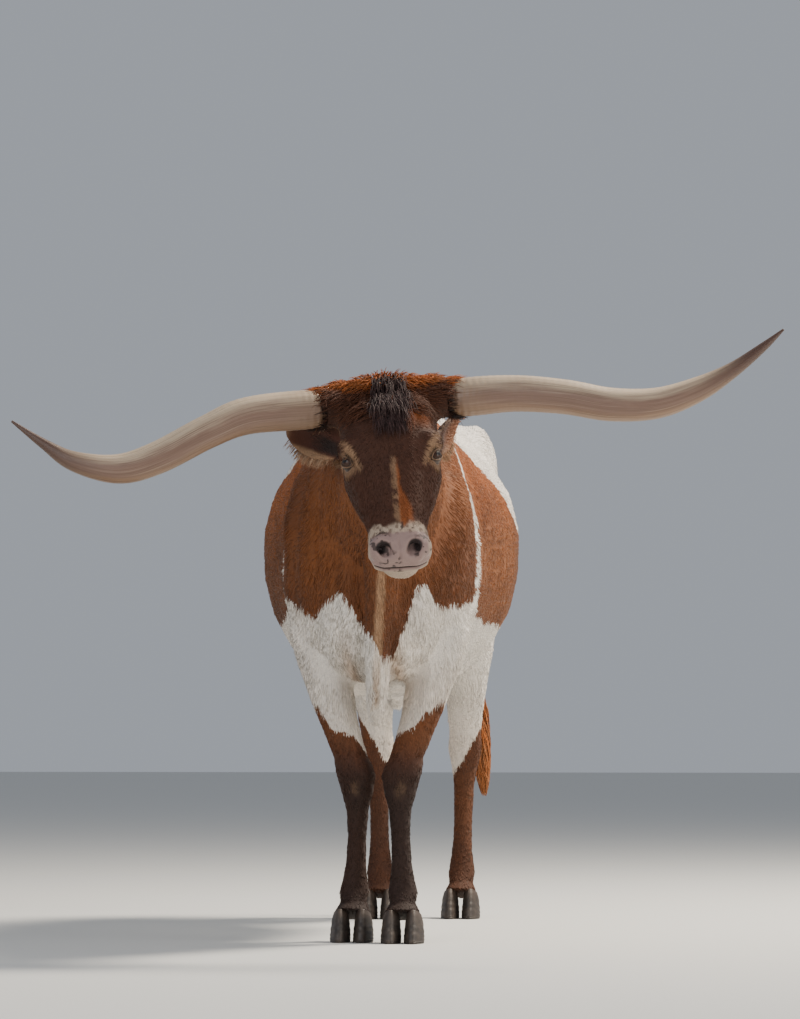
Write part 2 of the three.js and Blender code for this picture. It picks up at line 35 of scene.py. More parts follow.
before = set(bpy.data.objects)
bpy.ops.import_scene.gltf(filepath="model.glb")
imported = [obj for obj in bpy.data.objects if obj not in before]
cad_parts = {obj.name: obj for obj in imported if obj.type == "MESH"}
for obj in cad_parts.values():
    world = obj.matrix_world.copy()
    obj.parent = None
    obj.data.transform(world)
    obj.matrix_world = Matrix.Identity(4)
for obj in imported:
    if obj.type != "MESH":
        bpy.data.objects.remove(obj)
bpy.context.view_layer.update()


# Frames of the animal

def turnAbout(axis, degrees):
    # The matrix of a turn about one axis
    c, s = math.cos(math.radians(degrees)), math.sin(math.radians(degrees))
    rows = {
        "x": ((1, 0, 0), (0, c, -s), (0, s, c)),
        "y": ((c, 0, s), (0, 1, 0), (-s, 0, c)),
        "z": ((c, -s, 0), (s, c, 0), (0, 0, 1)),
    }
    return np.array(rows[axis], float)


carriage = {
    "hornYaw": 9.5,  # horns turned towards the animal's left
    "faceYaw": 5.5,  # the face, turned less
    "roll": -4.7,  # left horn raised
    "pitch": -30.0,  # nose line forward of hanging
    "eyeInHead": (0.099, -0.030, -0.184),  # the left eye's middle, from the poll
    "pollFromFeet": (0.064, -0.500, 1.324),  # from the floor under the withers, on the midline
}
hornTurn = turnAbout("z", carriage["hornYaw"]) @ turnAbout("y", carriage["roll"])
headTurn = (turnAbout("z", carriage["faceYaw"]) @ turnAbout("y", carriage["roll"])
            @ turnAbout("x", carriage["pitch"]))


def middleOf(node):
    lo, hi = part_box(node)
    return (np.array(lo) + np.array(hi)) / 2


eyeMiddle = (middleOf("eye_left") + middleOf("eye_right")) / 2
poll = eyeMiddle - headTurn @ np.array((0, *carriage["eyeInHead"][1:]))
feetOrigin = poll - np.array(carriage["pollFromFeet"])


def toHead(points):
    return (points - poll) @ headTurn


def toHorn(points):
    return (points - poll) @ hornTurn


def fromHead(points):
    return np.asarray(points) @ headTurn.T + poll


def fromHorn(points):
    return np.asarray(points) @ hornTurn.T + poll


def toBody(points):
    return points - feetOrigin


# Small tools for arrays

def smooth(edge0, edge1, value):
    share = np.clip((value - edge0) / (edge1 - edge0), 0, 1)
    return share * share * (3 - 2 * share)


def unit(vectors):
    return vectors / np.maximum(np.linalg.norm(vectors, axis=-1, keepdims=True), 1e-9)


def lattice(cells, seed):
    # A random number from 0 to 1 for each whole-numbered cell, by mixing its three numbers
    x, y, z = (cells[..., k].astype(np.int64) for k in range(3))
    mixed = (x * 374761393 + y * 668265263 + z * 2147483647 + seed * 1274126177) & 0xFFFFFFFF
    mixed = ((mixed ^ (mixed >> 13)) * 1274126177) & 0xFFFFFFFF
    mixed = ((mixed ^ (mixed >> 16)) * 2246822519) & 0xFFFFFFFF
    return (mixed ^ (mixed >> 15)) / 4294967295.0


def noise(points, size, seed=0):
    # Value noise from -1 to 1: lattice numbers blended over each cell by a smooth curve
    scaled = points / size
    cell = np.floor(scaled)
    part = scaled - cell
    part = part * part * (3 - 2 * part)
    total = 0
    for i in (0, 1):
        for j in (0, 1):
            for k in (0, 1):
                corner = lattice(cell + np.array((i, j, k)), seed)
                weight = np.ones(len(points))
                for axis, near in enumerate((i, j, k)):
                    weight = weight * (part[:, axis] if near else 1 - part[:, axis])
                total = total + corner * weight
    return total * 2 - 1


def along(stations, share):
    # Catmull-Rom values of every column of a table of stations, at shares of its length
    rows = np.array(stations, float)
    spot = np.clip(np.asarray(share, float), 0, 1) * (len(rows) - 1)
    i = np.minimum(spot.astype(int), len(rows) - 2)
    t = (spot - i)[..., None]
    a, b = rows[np.maximum(i - 1, 0)], rows[i]
    c, d = rows[i + 1], rows[np.minimum(i + 2, len(rows) - 1)]
    slopeIn, slopeOut = (c - a) / 2, (d - b) / 2
    bend = 3 * (c - b) - 2 * slopeIn - slopeOut
    twist = 2 * (b - c) + slopeIn + slopeOut
    return b + t * (slopeIn + t * (bend + t * twist))


def roundTurns(count):
    # Even turns once round a ring
    return np.linspace(0, 2 * math.pi, count, endpoint=False)


# Small tools for meshes

def inScene(name, data):
    obj = bpy.data.objects.new(name, data)
    bpy.context.scene.collection.objects.link(obj)
    return obj


def newMesh(name, vertices, faces, smoothShade=True):
    mesh = bpy.data.meshes.new(name)
    mesh.from_pydata(np.asarray(vertices, float).tolist(), [], faces)
    mesh.polygons.foreach_set("use_smooth", np.full(len(mesh.polygons), smoothShade))
    return inScene(name, mesh)


def trianglesMesh(name, vertices, triangles):
    # The same for a large mesh of triangles, straight from arrays
    mesh = bpy.data.meshes.new(name)
    mesh.vertices.add(len(vertices))
    mesh.vertices.foreach_set("co", np.asarray(vertices, np.float32).ravel())
    mesh.loops.add(triangles.size)
    mesh.loops.foreach_set("vertex_index", triangles.astype(np.int32).ravel())
    mesh.polygons.add(len(triangles))
    mesh.polygons.foreach_set("loop_start", np.arange(0, triangles.size, 3, dtype=np.int32))
    mesh.polygons.foreach_set("use_smooth", np.full(len(triangles), True))
    mesh.update(calc_edges=True)
    return inScene(name, mesh)


def gridFaces(rows, columns):
    # Quads between rings of points, each ring closed on itself
    i, j = np.meshgrid(np.arange(rows - 1), np.arange(columns), indexing="ij")
    k = (j + 1) % columns
    quads = (i * columns + j, i * columns + k, (i + 1) * columns + k, (i + 1) * columns + j)
    return np.stack(quads, -1).reshape(-1, 4)


def closedTube(name, rings):
    # A surface through rings of points (rows, columns, 3), each end closed by a fan to its middle
    rows, columns = rings.shape[:2]
    vertices = np.vstack((rings.reshape(-1, 3), rings[0].mean(0), rings[-1].mean(0)))
    first, last = rows * columns, rows * columns + 1
    turn = np.arange(columns)
    after = (turn + 1) % columns
    low = np.stack((np.full(columns, first), after, turn), -1)
    base = (rows - 1) * columns
    high = np.stack((np.full(columns, last), base + turn, base + after), -1)
    obj = newMesh(name, vertices, gridFaces(rows, columns).tolist() + low.tolist() + high.tolist())
    turnOut = bmesh.new()
    turnOut.from_mesh(obj.data)
    bmesh.ops.recalc_face_normals(turnOut, faces=turnOut.faces)
    turnOut.to_mesh(obj.data)
    turnOut.free()
    return obj


def paint(obj, name, values):
    # A number for each point becomes a plain attribute, a row of three a colour
    values = np.asarray(values, np.float32)
    if values.ndim == 1:
        layer = obj.data.attributes.new(name, "FLOAT", "POINT")
        layer.data.foreach_set("value", values)
    else:
        rgba = np.ones((len(values), 4), np.float32)
        rgba[:, :3] = values
        layer = obj.data.attributes.new(name, "FLOAT_COLOR", "POINT")
        layer.data.foreach_set("color", rgba.ravel())


# Camera, floor and light

view = {
    "azimuth": 5.0,
    "distance": 12.0,  # to the head
    "height": 0.60,
    "sensor": 36.0,
    "focalPixels": 5016.0,
    "frameHeight": 1019,
    "horizonRow": 702.4,  # the picture row at camera height
    "sideFromMidline": 0.053,  # how far the midline at the withers lies left of the picture's axis
    "headPlane": -0.62,  # in front of the fore feet
}


def makeCamera():
    a = math.radians(view["azimuth"])
    right = np.array((math.cos(a), math.sin(a), 0))
    back = np.array((math.sin(a), -math.cos(a), 0))
    aim = feetOrigin + right * view["sideFromMidline"]
    fromFeet = view["distance"] - view["headPlane"] * math.cos(a)
    spot = aim + back * fromFeet
    camera = bpy.data.cameras.new("camera")
    camera.sensor_width = view["sensor"]
    camera.lens = view["focalPixels"] * camera.sensor_width / view["frameHeight"]
    camera.clip_end = 200.0
    obj = inScene("camera", camera)
    obj.location = (spot[0], spot[1], view["height"])
    lookUp = math.atan((view["horizonRow"] - view["frameHeight"] / 2) / view["focalPixels"])
    obj.rotation_euler = (math.pi / 2 + lookUp, 0, a)
    bpy.context.scene.camera = obj


lighting = {
    "world": (0.84, 0.90, 1.0),
    "worldStrength": 0.42,
    "aim": (0, 0, 0.9),
    "floorReach": 30,
    "floor": (0.62, 0.62, 0.60),
    "sun": {"at": (3.0, 1.8, 5.6), "size": 1.3, "power": 900, "colour": (1.0, 0.90, 0.76)},
    "front": {"at": (-3.0, -6.5, 3.0), "size": 4.5, "power": 210, "colour": (1.0, 0.98, 0.96)},
    "left": {"at": (5.5, -2.5, 2.2), "size": 3.0, "power": 150, "colour": (1.0, 0.94, 0.86)},
}


def makeStudio():
    world = bpy.data.worlds.new("studio")
    world.use_nodes = True
    background = world.node_tree.nodes["Background"]
    background.inputs["Color"].default_value = (*lighting["world"], 1)
    background.inputs["Strength"].default_value = lighting["worldStrength"]
    bpy.context.scene.world = world
    for name in ("sun", "front", "left"):
        spec = lighting[name]
        lamp = bpy.data.lights.new(name, "AREA")
        lamp.size, lamp.energy, lamp.color = spec["size"], spec["power"], spec["colour"]
        obj = inScene(name, lamp)
        obj.location = spec["at"]
        toAim = Vector(lighting["aim"]) - Vector(spec["at"])
        obj.rotation_euler = toAim.to_track_quat("-Z", "Y").to_euler()
    reach = lighting["floorReach"]
    corners = [(-reach, -reach, 0), (reach, -reach, 0), (reach, reach, 0), (-reach, reach, 0)]
    floor = newMesh("floor", corners, [(0, 1, 2, 3)], False)
    material = bpy.data.materials.new("paleFloor")
    material.use_nodes = True
    shader = material.node_tree.nodes["Principled BSDF"]
    shader.inputs["Base Color"].default_value = (*lighting["floor"], 1)
    shader.inputs["Roughness"].default_value = 0.9
    floor.data.materials.append(material)


makeCamera()
makeStudio()
print("camera, floor and lights are set")


# Markings

# Points on the edges of the markings: sideways or back, then height.
chestEdge = ((-0.30, 0.93), (-0.225, 0.862), (-0.150, 0.816), (-0.129, 0.828), (-0.069, 0.882),
             (-0.056, 0.861),
             (-0.008, 0.790), (0.012, 0.770), (0.030, 0.722), (0.055, 0.720), (0.086, 0.792),
             (0.102, 0.840),
             (0.116, 0.892), (0.1415, 0.888), (0.158, 0.857), (0.182, 0.838), (0.208, 0.853),
             (0.229, 0.853),
             (0.262, 0.88), (0.32, 0.95))
leftLegEdge = ((0.02, 0.500), (0.04, 0.512), (0.09, 0.5285), (0.105, 0.56), (0.12, 0.587),
               (0.145, 0.579), (0.17, 0.608))
rightLegEdge = ((0.02, 0.480), (0.05, 0.4995), (0.07, 0.515), (0.09, 0.533), (0.115, 0.535),
                (0.14, 0.570), (0.17, 0.60))
barrelTop = ((0.05, 1.40), (0.20, 1.30), (0.35, 1.26), (0.50, 1.19), (0.72, 1.08), (0.88, 1.00),
             (1.0, 0.90))
barrelFoot = ((0.05, 0.86), (0.30, 0.82), (0.60, 0.80), (0.85, 0.82), (1.0, 0.90))

ears = {  # in the horns' frame
    "right": {"root": (-0.108, 0.026, -0.108), "tip": (-0.241, 0.132, -0.042),
              "facing": (-0.25, -0.95, -0.2)},
    "left": {"root": (0.108, 0.026, -0.118), "tip": (0.192, 0.182, -0.044),
             "facing": (0.85, -0.45, -0.3)},
}

colours = {
    "white": (0.78, 0.73, 0.67),
    "brown": (0.255, 0.088, 0.027),
    "deepBrown": (0.060, 0.023, 0.013),
    "rust": (0.44, 0.115, 0.020),
    "black": (0.014, 0.010, 0.009),
    "tan": (0.42, 0.26, 0.15),
    "cream": (0.50, 0.395, 0.305),
    "nose": (0.27, 0.185, 0.168),
    "noseDark": (0.020, 0.013, 0.013),
    "purple": (0.062, 0.030, 0.029),
    "inside": (0.075, 0.026, 0.016),
}


def edgeAt(points, value):
    xs, ys = zip(*points)
    return np.interp(value, xs, ys)


def mix(colour, name, amount):
    # Colours drawn towards a named one by a share for each point
    return colour + (np.array(colours[name]) - colour) * np.clip(amount, 0, 1)[:, None]


def coatMarks(points, normals):
    # The white coat's colour, the brown coat's colour, how far a point lies inside the brown
    # (metres, roughened by noise) and where the hide is bare. Every mark is a smooth band in the
    # animal's own frame.
    body = toBody(points)
    head = toHead(points)
    x, y, z = body.T
    rough = 0.012 * noise(points, 0.05, 1) + 0.007 * noise(points, 0.016, 2)
    broad = noise(points, 0.16, 4)
    fine = noise(points, 0.012, 5)
    # Brown forequarters, down to the scalloped edge on the chest and back to the line behind the
    # shoulder
    shoulderBack = 0.115 + 0.05 * np.clip((1.25 - z) / 0.45, 0, 1) + 0.3 * np.maximum(z - 1.25, 0)
    fore = np.minimum(z - edgeAt(chestEdge, x), (shoulderBack - y) * 0.8)
    # Brown barrel patch on each side, under a white back
    barrel = np.minimum(edgeAt(barrelTop, y) - z, z - edgeAt(barrelFoot, y))
    barrel = np.minimum(barrel, (y - (shoulderBack + 0.055)) * 0.8)
    # Ends where the edges meet
    barrel = np.minimum(barrel, edgeAt(barrelTop, y) - edgeAt(barrelFoot, y) - 0.045)
    # Brown lower legs
    isFore = y < 0.6
    side = np.abs(x)
    foreEdge = (np.where(x > 0, edgeAt(leftLegEdge, side), edgeAt(rightLegEdge, side))
                + 0.012 * np.sin(y * 45 + x * 60))
    hindEdge = np.where(x > 0, 0.44, 0.485) + 1.85 * (np.abs(x + 0.010) - 0.115) + 0.25 * (y - 1.4)
    leg = np.where(isFore, foreEdge, hindEdge) - z
    mark = np.maximum(np.maximum(fore, barrel), leg) + rough
    tailShare = smooth(1.50, 1.53, y) * smooth(0.80, 0.72, z)
    mark = np.where(y > 1.5, (tailShare - 0.5) * 0.1, mark)
    pale = np.tile(np.array(colours["white"]), (len(points), 1))
    pale *= (1 + 0.05 * broad + 0.04 * fine)[:, None]
    pale = mix(pale, "tan", 0.20 * smooth(0.75, 0.45, z) + 0.10 * smooth(0.2, 0.8, broad))
    dark = np.tile(np.array(colours["brown"]), (len(points), 1))
    # The brown deepens below a metre's height as painted shade, and turns rust high up from the
    # shoulders back as painted sunlight; the rest of both mixes is the coat's own colour and uneven
    # tone
    dark = mix(dark, "deepBrown", 0.35 + 0.3 * broad + 0.25 * smooth(1.0, 0.7, z))
    dark = mix(dark, "rust", 0.45 * smooth(0.95, 1.25, z) * smooth(-0.15, 0.25, y) + 0.18 * fine)
    # Near black on the knees and the fronts of the cannons
    legDark = smooth(0.56, 0.42, z) * np.where(isFore, 1.0, 0.45)
    legDark = legDark * (0.75 + 0.25 * smooth(0.02, -0.03, np.where(isFore, y, y - 1.39)))
    dark = mix(dark, "deepBrown", legDark)
    dark = mix(dark, "black", 0.7 * legDark * smooth(0.50, 0.36, z))
    dark = mix(dark, "rust", 0.8 * tailShare)
    # Rubbed grey patches on the knees
    knee = np.hypot(side - 0.060, z - 0.385)
    rubbed = smooth(0.020, 0.006, knee + 0.004 * fine) * smooth(0.0, -0.02, y) * isFore
    dark = mix(dark, "tan", 0.16 * rubbed)
    # Pale tan along the edge of the dewlap, part pale hair and part a painted highlight on the edge
    # of its fold, and a tan tint on the white in the folds of the breast
    hang = dewlapMiddle(z)
    edge = (smooth(0.013, 0.006, np.abs(x - hang - 0.006) + 0.002 * fine) * smooth(-0.18, -0.21, y)
            * smooth(1.0, 0.93, z))
    dark = mix(dark, "tan", 0.75 * edge)
    pale = mix(pale, "tan", 0.60 * edge * smooth(0.80, 0.62, z))
    fold = (np.exp(-(((side - 0.062) / 0.020) ** 2) - (((z - 0.68) / 0.075) ** 2))
            * smooth(0.0, -0.08, y))
    pale = mix(pale, "tan", 0.65 * fold)
    face, onHead, bare = faceColour(head, points, normals, fine, broad)
    pale = pale + (face - pale) * onHead[:, None]
    dark = dark + (face - dark) * onHead[:, None]
    return np.clip(pale, 0.004, 0.95), np.clip(dark, 0.004, 0.95), mark, bare * onHead


def dewlapMiddle(z):
    # How far the dewlap's edge lies to the left, falling to nothing at its foot
    return 0.052 * np.clip((z - 0.545) / 0.545, 0, 1)


def faceColour(head, points, normals, fine, broad):
    # The face is marked in the head's own frame: hx sideways, hy back from the forehead, hz up
    # from the nose
    hx, hy, hz = head.T
    side = np.abs(hx)
    onHead = smooth(0.26, 0.15, hy + 0.35 * hz + 0.06)
    onHead = onHead * smooth(0.45, 0.30, side) * smooth(-0.60, -0.50, hz) * smooth(0.20, 0.10, hz)
    face = np.tile(np.array(colours["deepBrown"]), (len(points), 1))
    face *= (1 + 0.12 * broad + 0.12 * fine)[:, None]
    # Rusty hair over the poll and horn roots. Down the left of the forehead the rust is painted
    # sunlight on the lit side
    spot = toHorn(points)
    crown = smooth(0.018, 0.040, spot[:, 2] - 0.10 * side)
    face = mix(face, "rust", 0.85 * crown)
    face = mix(face, "rust", 0.55 * smooth(-0.14, -0.07, hz) * smooth(0.02, 0.06, hx)
               * smooth(0.11, 0.085, hx))
    # Dark ring of hair round each horn root, deepened by painted shade about the horn's foot
    face = mix(face, "deepBrown", 0.9 * smooth(0.135, 0.158, side) * smooth(-0.09, -0.07, hz))
    # Curly pale crest down the nose, with a rusty patch on its left that widens downwards: painted
    # sunlight on the lit side of the nose
    run = smooth(-0.27, -0.35, hz)
    crest = smooth(0.011, 0.004, np.abs(hx - 0.002 + 0.002 * fine)) * smooth(-0.19, -0.215, hz)
    patch = smooth(0.004, 0.010, hx) * smooth(0.017 + 0.028 * run, 0.011 + 0.022 * run,
                                              hx + 0.003 * fine)
    patch = patch * smooth(-0.20, -0.24, hz + 0.012 * fine)
    face = mix(face, "rust", 0.50 * patch * smooth(0, -0.05, hy) * (0.8 + 0.2 * fine))
    face = mix(face, "tan", 0.42 * crest * smooth(0, -0.05, hy) * smooth(-0.6, 0.5, fine + 0.2))
    # Redder cheeks
    face = mix(face, "brown", 0.75 * smooth(0.05, 0.11, hy) * smooth(-0.05, -0.15, hz))
    # Pale tan round the eyes and in a streak above each, dark lid edges
    mirrored = head.copy()
    mirrored[:, 0] = side
    away = np.linalg.norm(mirrored - np.array(carriage["eyeInHead"]), axis=1)
    face = mix(face, "tan", 0.35 * smooth(0.040, 0.030, away + 0.004 * fine))
    brow = pathGap(mirrored, browLine)
    face = mix(face, "tan", 0.62 * smooth(0.015, 0.005, brow + 0.0015 * fine))
    face = mix(face, "black", 0.85 * smooth(0.0228, 0.0218, away))
    # Cream band above the nose, cream lips and chin
    face = mix(face, "cream", 0.85 * smooth(-0.376, -0.390,
                                            hz - 0.25 * np.maximum(side - 0.02, 0) + 0.008 * fine))
    face = mix(face, "cream", 0.7 * smooth(-0.345, -0.38, hz) * smooth(0.02, 0.04, hy))
    # Bare nose pad with dark freckles
    pad = smooth(-0.398, -0.408, hz - 0.12 * np.maximum(side - 0.03, 0) + 0.004 * fine)
    pad = pad * smooth(0.024, 0.012, hy) * smooth(0.075, 0.066, side)
    face = mix(face, "nose", pad)
    freckle = (smooth(0.30, 0.45, noise(points, 0.0065, 11))
               * smooth(-0.35, 0.2, noise(points, 0.03, 12)))
    face = mix(face, "noseDark", 0.8 * freckle * smooth(-0.368, -0.385, hz)
               * smooth(0.04, 0.02, hy))
    crust = (smooth(-0.370, -0.384, hz) * smooth(-0.414, -0.400, hz)
             * smooth(0.0, 0.35, noise(points, 0.008, 13)))
    face = mix(face, "deepBrown", 0.55 * crust * smooth(0.05, 0.02, hy))
    # Near black in the nostrils and along the slit between the lips: painted shade in these hollows
    hole = pathGap(mirrored, nostrilLine)
    face = mix(face, "noseDark", smooth(0.0185, 0.0130, hole))
    face = mix(face, "noseDark", 0.9 * smooth(0.004, 0.0015, mouthGap(head)))
    bare = np.maximum(pad, smooth(0.0250, 0.0234, away))
    # Inside of the ears: red-brown, near black in the depth as painted shade, tan at the rim
    for ear in ears.values():
        t, gap, inward = earPlace(spot, normals, ear)
        on = (t < 1.25) * (t > 0.05) * smooth(0.075, 0.062, gap)
        on = on * (1.0 if ear["root"][0] < 0 else 0.45)  # the left one opens away and is plainer
        face = mix(face, "tan", 0.45 * on * smooth(0.55, 0.2, np.abs(inward)))
        drop = ear["root"][2] + t * (ear["tip"][2] - ear["root"][2]) - spot[:, 2]
        face = mix(face, "tan", 0.7 * on * smooth(0.016, 0.028, drop + 0.002 * fine))
        face = mix(face, "tan", 0.6 * on * smooth(0.80, 0.98, t))
        hollow = (on * smooth(0.026, 0.016, drop) * smooth(0.98, 0.86, t)
                  * smooth(0.15, 0.5, inward) * smooth(0.045, 0.026, gap - 0.01 * t))
        face = mix(face, "inside", 0.9 * hollow)
        # Near black deep in the hollow towards the ear's root: painted shade
        face = mix(face, "black", 0.85 * hollow * smooth(0.65, 0.25, t) * smooth(0.026, 0.012, gap))
    return face, onHead, bare


def earPlace(spot, normals, ear):
    # Share along the ear, distance from its middle line and how far the skin faces its opening
    root, tip = np.array(ear["root"]), np.array(ear["tip"])
    t = ((spot - root) @ (tip - root)) / ((tip - root) @ (tip - root))
    gap = np.linalg.norm(spot - root - t[:, None] * (tip - root), axis=1)
    return t, gap, normals @ (hornTurn @ unit(np.array(ear["facing"])))


browLine = ((0.112, -0.034, -0.120), (0.105, -0.060, -0.150), (0.092, -0.066, -0.190),
            (0.083, -0.062, -0.215))
nostrilLine = ((0.031, -0.046, -0.452), (0.037, -0.044, -0.437), (0.048, -0.032, -0.430))


def pathGap(points, path):
    # Distance from a line of several straight parts
    best = np.full(len(points), 9.0)
    for start, end in zip(path[:-1], path[1:]):
        a, b = np.array(start), np.array(end)
        share = np.clip((points - a) @ (b - a) / ((b - a) @ (b - a)), 0, 1)
        best = np.minimum(best, np.linalg.norm(points - a - share[:, None] * (b - a), axis=1))
    return best


mouthLine = {"front": (0.010, -0.460), "corner": (0.052, -0.372)}


def mouthGap(head):
    # Distance from the slit between the lips: a line in the head's side view, carried across
    a, b = np.array(mouthLine["front"]), np.array(mouthLine["corner"])
    spot = head[:, 1:]
    share = np.clip(((spot - a) @ (b - a)) / ((b - a) @ (b - a)), -0.6, 1)
    return np.linalg.norm(spot - (a + share[:, None] * (b - a)), axis=1)


# Skin: one surface over all the flesh, a coat's depth inside the solids

skinShape = {
    "voxel": 0.005,
    "keepShare": 0.17,  # of the triangles, after the body is thinned out
    "overlap": 0.0050,  # solids are fattened by this so that the thin cuts close
    "bodyDepth": 0.0086,
    "headDepth": 0.0062,
    "legDepth": 0.0046,
    "pollDepth": 0.0264,
    "earDepth": 0.0039,
    "muzzleDepth": 0.0034,
    "dewlapDepth": 0.0044,
    "softenAll": 10,  # rounds of smoothing
    "softenTrunk": 110,
    "splitRound": (0.055, 0.036),  # reaches round each eye within which edges are split
}
fleshNodes = ["head", "neck", "trunk", "leg_front_left", "leg_front_right", "leg_hind_left",
              "leg_hind_right", "ear_left", "ear_right", "tail"]


def weldedArrays(node):
    # A node's points and triangles with the points that share a place made one
    co, tri = meshArrays(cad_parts[node].data)
    keys = np.round(co / 2e-5).astype(np.int64)
    _, first, inverse = np.unique(keys, axis=0, return_index=True, return_inverse=True)
    welded = inverse.ravel()[tri]
    proper = ((welded[:, 0] != welded[:, 1]) & (welded[:, 1] != welded[:, 2])
              & (welded[:, 2] != welded[:, 0]))
    return co[first], welded[proper]


def vertexNormals(vertices, triangles):
    a, b, c = (vertices[triangles[:, k]] for k in range(3))
    face = np.cross(b - a, c - a)
    total = np.zeros_like(vertices)
    for k in range(3):
        for axis in range(3):
            total[:, axis] += np.bincount(triangles[:, k], face[:, axis], len(vertices))
    return unit(total)


def meshArrays(mesh):
    co = np.empty(len(mesh.vertices) * 3, np.float32)
    mesh.vertices.foreach_get("co", co)
    mesh.calc_loop_triangles()
    tri = np.empty(len(mesh.loop_triangles) * 3, np.int32)
    mesh.loop_triangles.foreach_get("vertices", tri)
    return co.reshape(-1, 3).astype(float), tri.reshape(-1, 3)


def finished(obj):
    # Applies the object's modifiers to its mesh
    graph = bpy.context.evaluated_depsgraph_get()
    made = bpy.data.meshes.new_from_object(obj.evaluated_get(graph))
    obj.modifiers.clear()
    old = obj.data
    obj.data = made
    bpy.data.meshes.remove(old)


def fleshSource():
    # All the solids of flesh in one mesh, each fattened a little along its normals
    vertices, triangles, count = [], [], 0
    for node in fleshNodes + ["eye_left", "eye_right"]:
        co, tri = weldedArrays(node)
        vertices.append(co + vertexNormals(co, tri) * skinShape["overlap"])
        triangles.append(tri + count)
        count += len(co)
    return trianglesMesh("skin", np.vstack(vertices), np.vstack(triangles))


def headShare(points):
    # 1 on the head and ears, falling to 0 down the neck
    head = toHead(points)
    return (smooth(0.24, 0.16, head[:, 1] + 0.25 * head[:, 2] + 0.03)
            * smooth(0.9, 0.8, np.abs(head[:, 0])))


def earShare(points):
    # 1 on the ears' blades, 0 on the head
    spot = toHorn(points)
    share = np.zeros(len(points))
    for ear in ears.values():
        t, gap, _ = earPlace(spot, points * 0, ear)
        share = np.maximum(share, smooth(0.12, 0.28, t) * smooth(0.075, 0.06, gap) * (t < 1.2))
    return share


def setGroup(obj, name, weights):
    # A vertex group in twenty steps of weight
    group = obj.vertex_groups.new(name=name)
    order = np.round(weights * 20).astype(int)
    for level in range(21):
        members = np.nonzero(order == level)[0]
        if len(members):
            group.add(members.tolist(), level / 20, "REPLACE")


def refine(obj, reach):
    # Splits the edges whose ends lie within a distance given by the reach function
    points, _ = meshArrays(obj.data)
    near = reach(points)
    work = bmesh.new()
    work.from_mesh(obj.data)
    work.edges.ensure_lookup_table()
    ends = np.empty(len(obj.data.edges) * 2, np.int32)
    obj.data.edges.foreach_get("vertices", ends)
    chosen = np.nonzero(near[ends.reshape(-1, 2)].all(1))[0]
    bmesh.ops.subdivide_edges(work, edges=[work.edges[k] for k in chosen], cuts=1,
                              use_grid_fill=True, smooth=0.6)
    bmesh.ops.triangulate(work, faces=work.faces[:])
    work.to_mesh(obj.data)
    work.free()


def nearEyes(radius):
    middle = np.array(carriage["eyeInHead"])

    def test(points):
        head = toHead(points)
        head[:, 0] = np.abs(head[:, 0])
        return np.linalg.norm(head - middle, axis=1) < radius
    return test


def nearMuzzle(points):
    head = toHead(points)
    return (head[:, 2] < -0.365) & (head[:, 1] < 0.10)


def nearNose(points):
    head = toHead(points)
    return (head[:, 2] < -0.395) & (head[:, 1] < 0.055)


def onDewlap(body):
    # 1 within a hand's breadth of the dewlap's edge, before the legs and below the throat
    gap = np.abs(body[:, 0] - dewlapMiddle(body[:, 2]))
    return smooth(0.085, 0.055, gap) * smooth(0.02, -0.06, body[:, 1] + 0.6 * (body[:, 2] - 0.60)) \
        * smooth(1.05, 0.95, body[:, 2])


def coatDepth(points):
    # How deep the skin lies inside the solids, blended from part to part
    body, head = toBody(points), toHead(points)
    depth = np.full(len(points), skinShape["bodyDepth"])
    leg = smooth(0.75, 0.55, body[:, 2])
    depth += (skinShape["legDepth"] - depth) * leg
    onHead = headShare(points)
    depth += (skinShape["headDepth"] - depth) * onHead
    spot = toHorn(points)
    crown = np.hypot((spot[:, 1] - 0.015) / 0.085, (spot[:, 2] - 0.04) / 0.075)
    depth += ((skinShape["pollDepth"] - depth) * smooth(1.5, 0.8, crown)
              * smooth(0.150, 0.075, np.abs(spot[:, 0])))
    depth += (skinShape["earDepth"] - depth) * earShare(points)
    depth += ((skinShape["muzzleDepth"] - depth)
              * np.maximum(smooth(-0.36, -0.40, head[:, 2]) * onHead, 0))
    depth += (skinShape["dewlapDepth"] - depth) * onDewlap(body)
    return depth


# Lines on the side of the body in its own side view (back, up), reach and height in metres.
sideStamps = [
    ((0.10, 1.28), (-0.12, 0.98), 0.032, 0.006),  # ridge of the shoulder blade
    ((-0.02, 1.26), (-0.22, 1.00), 0.030, -0.005),  # hollow before it
    ((0.21, 1.22), (0.12, 0.84), 0.038, -0.008),  # hollow behind the shoulder
    ((-0.20, 0.93), (-0.16, 0.88), 0.050, 0.007),  # point of the shoulder
    ((0.05, 0.76), (0.07, 0.72), 0.045, 0.006),  # elbow
    ((0.98, 1.17), (1.03, 1.09), 0.065, -0.017),  # hollow of the flank
    ((0.84, 1.14), (0.90, 0.90), 0.030, 0.005),  # last rib
    ((1.13, 1.27), (1.15, 1.265), 0.042, 0.013),  # hook bone
    ((1.22, 1.25), (1.37, 1.22), 0.038, -0.007),
    ((1.29, 1.13), (1.31, 1.11), 0.050, 0.005),
    ((0.99, 0.88), (0.88, 0.79), 0.030, 0.007),  # fold of the flank
    ((1.15, 1.06), (1.26, 0.78), 0.028, -0.006),  # groove before the thigh muscle
    ((1.40, 1.12), (1.42, 0.80), 0.024, -0.005),
    ((1.04, 0.82), (1.05, 0.78), 0.045, 0.007),  # stifle
]
for rib in range(7):  # ribs
    sideStamps.append(((0.27 + 0.085 * rib, 1.16), (0.21 + 0.10 * rib, 0.84), 0.015, 0.0028))
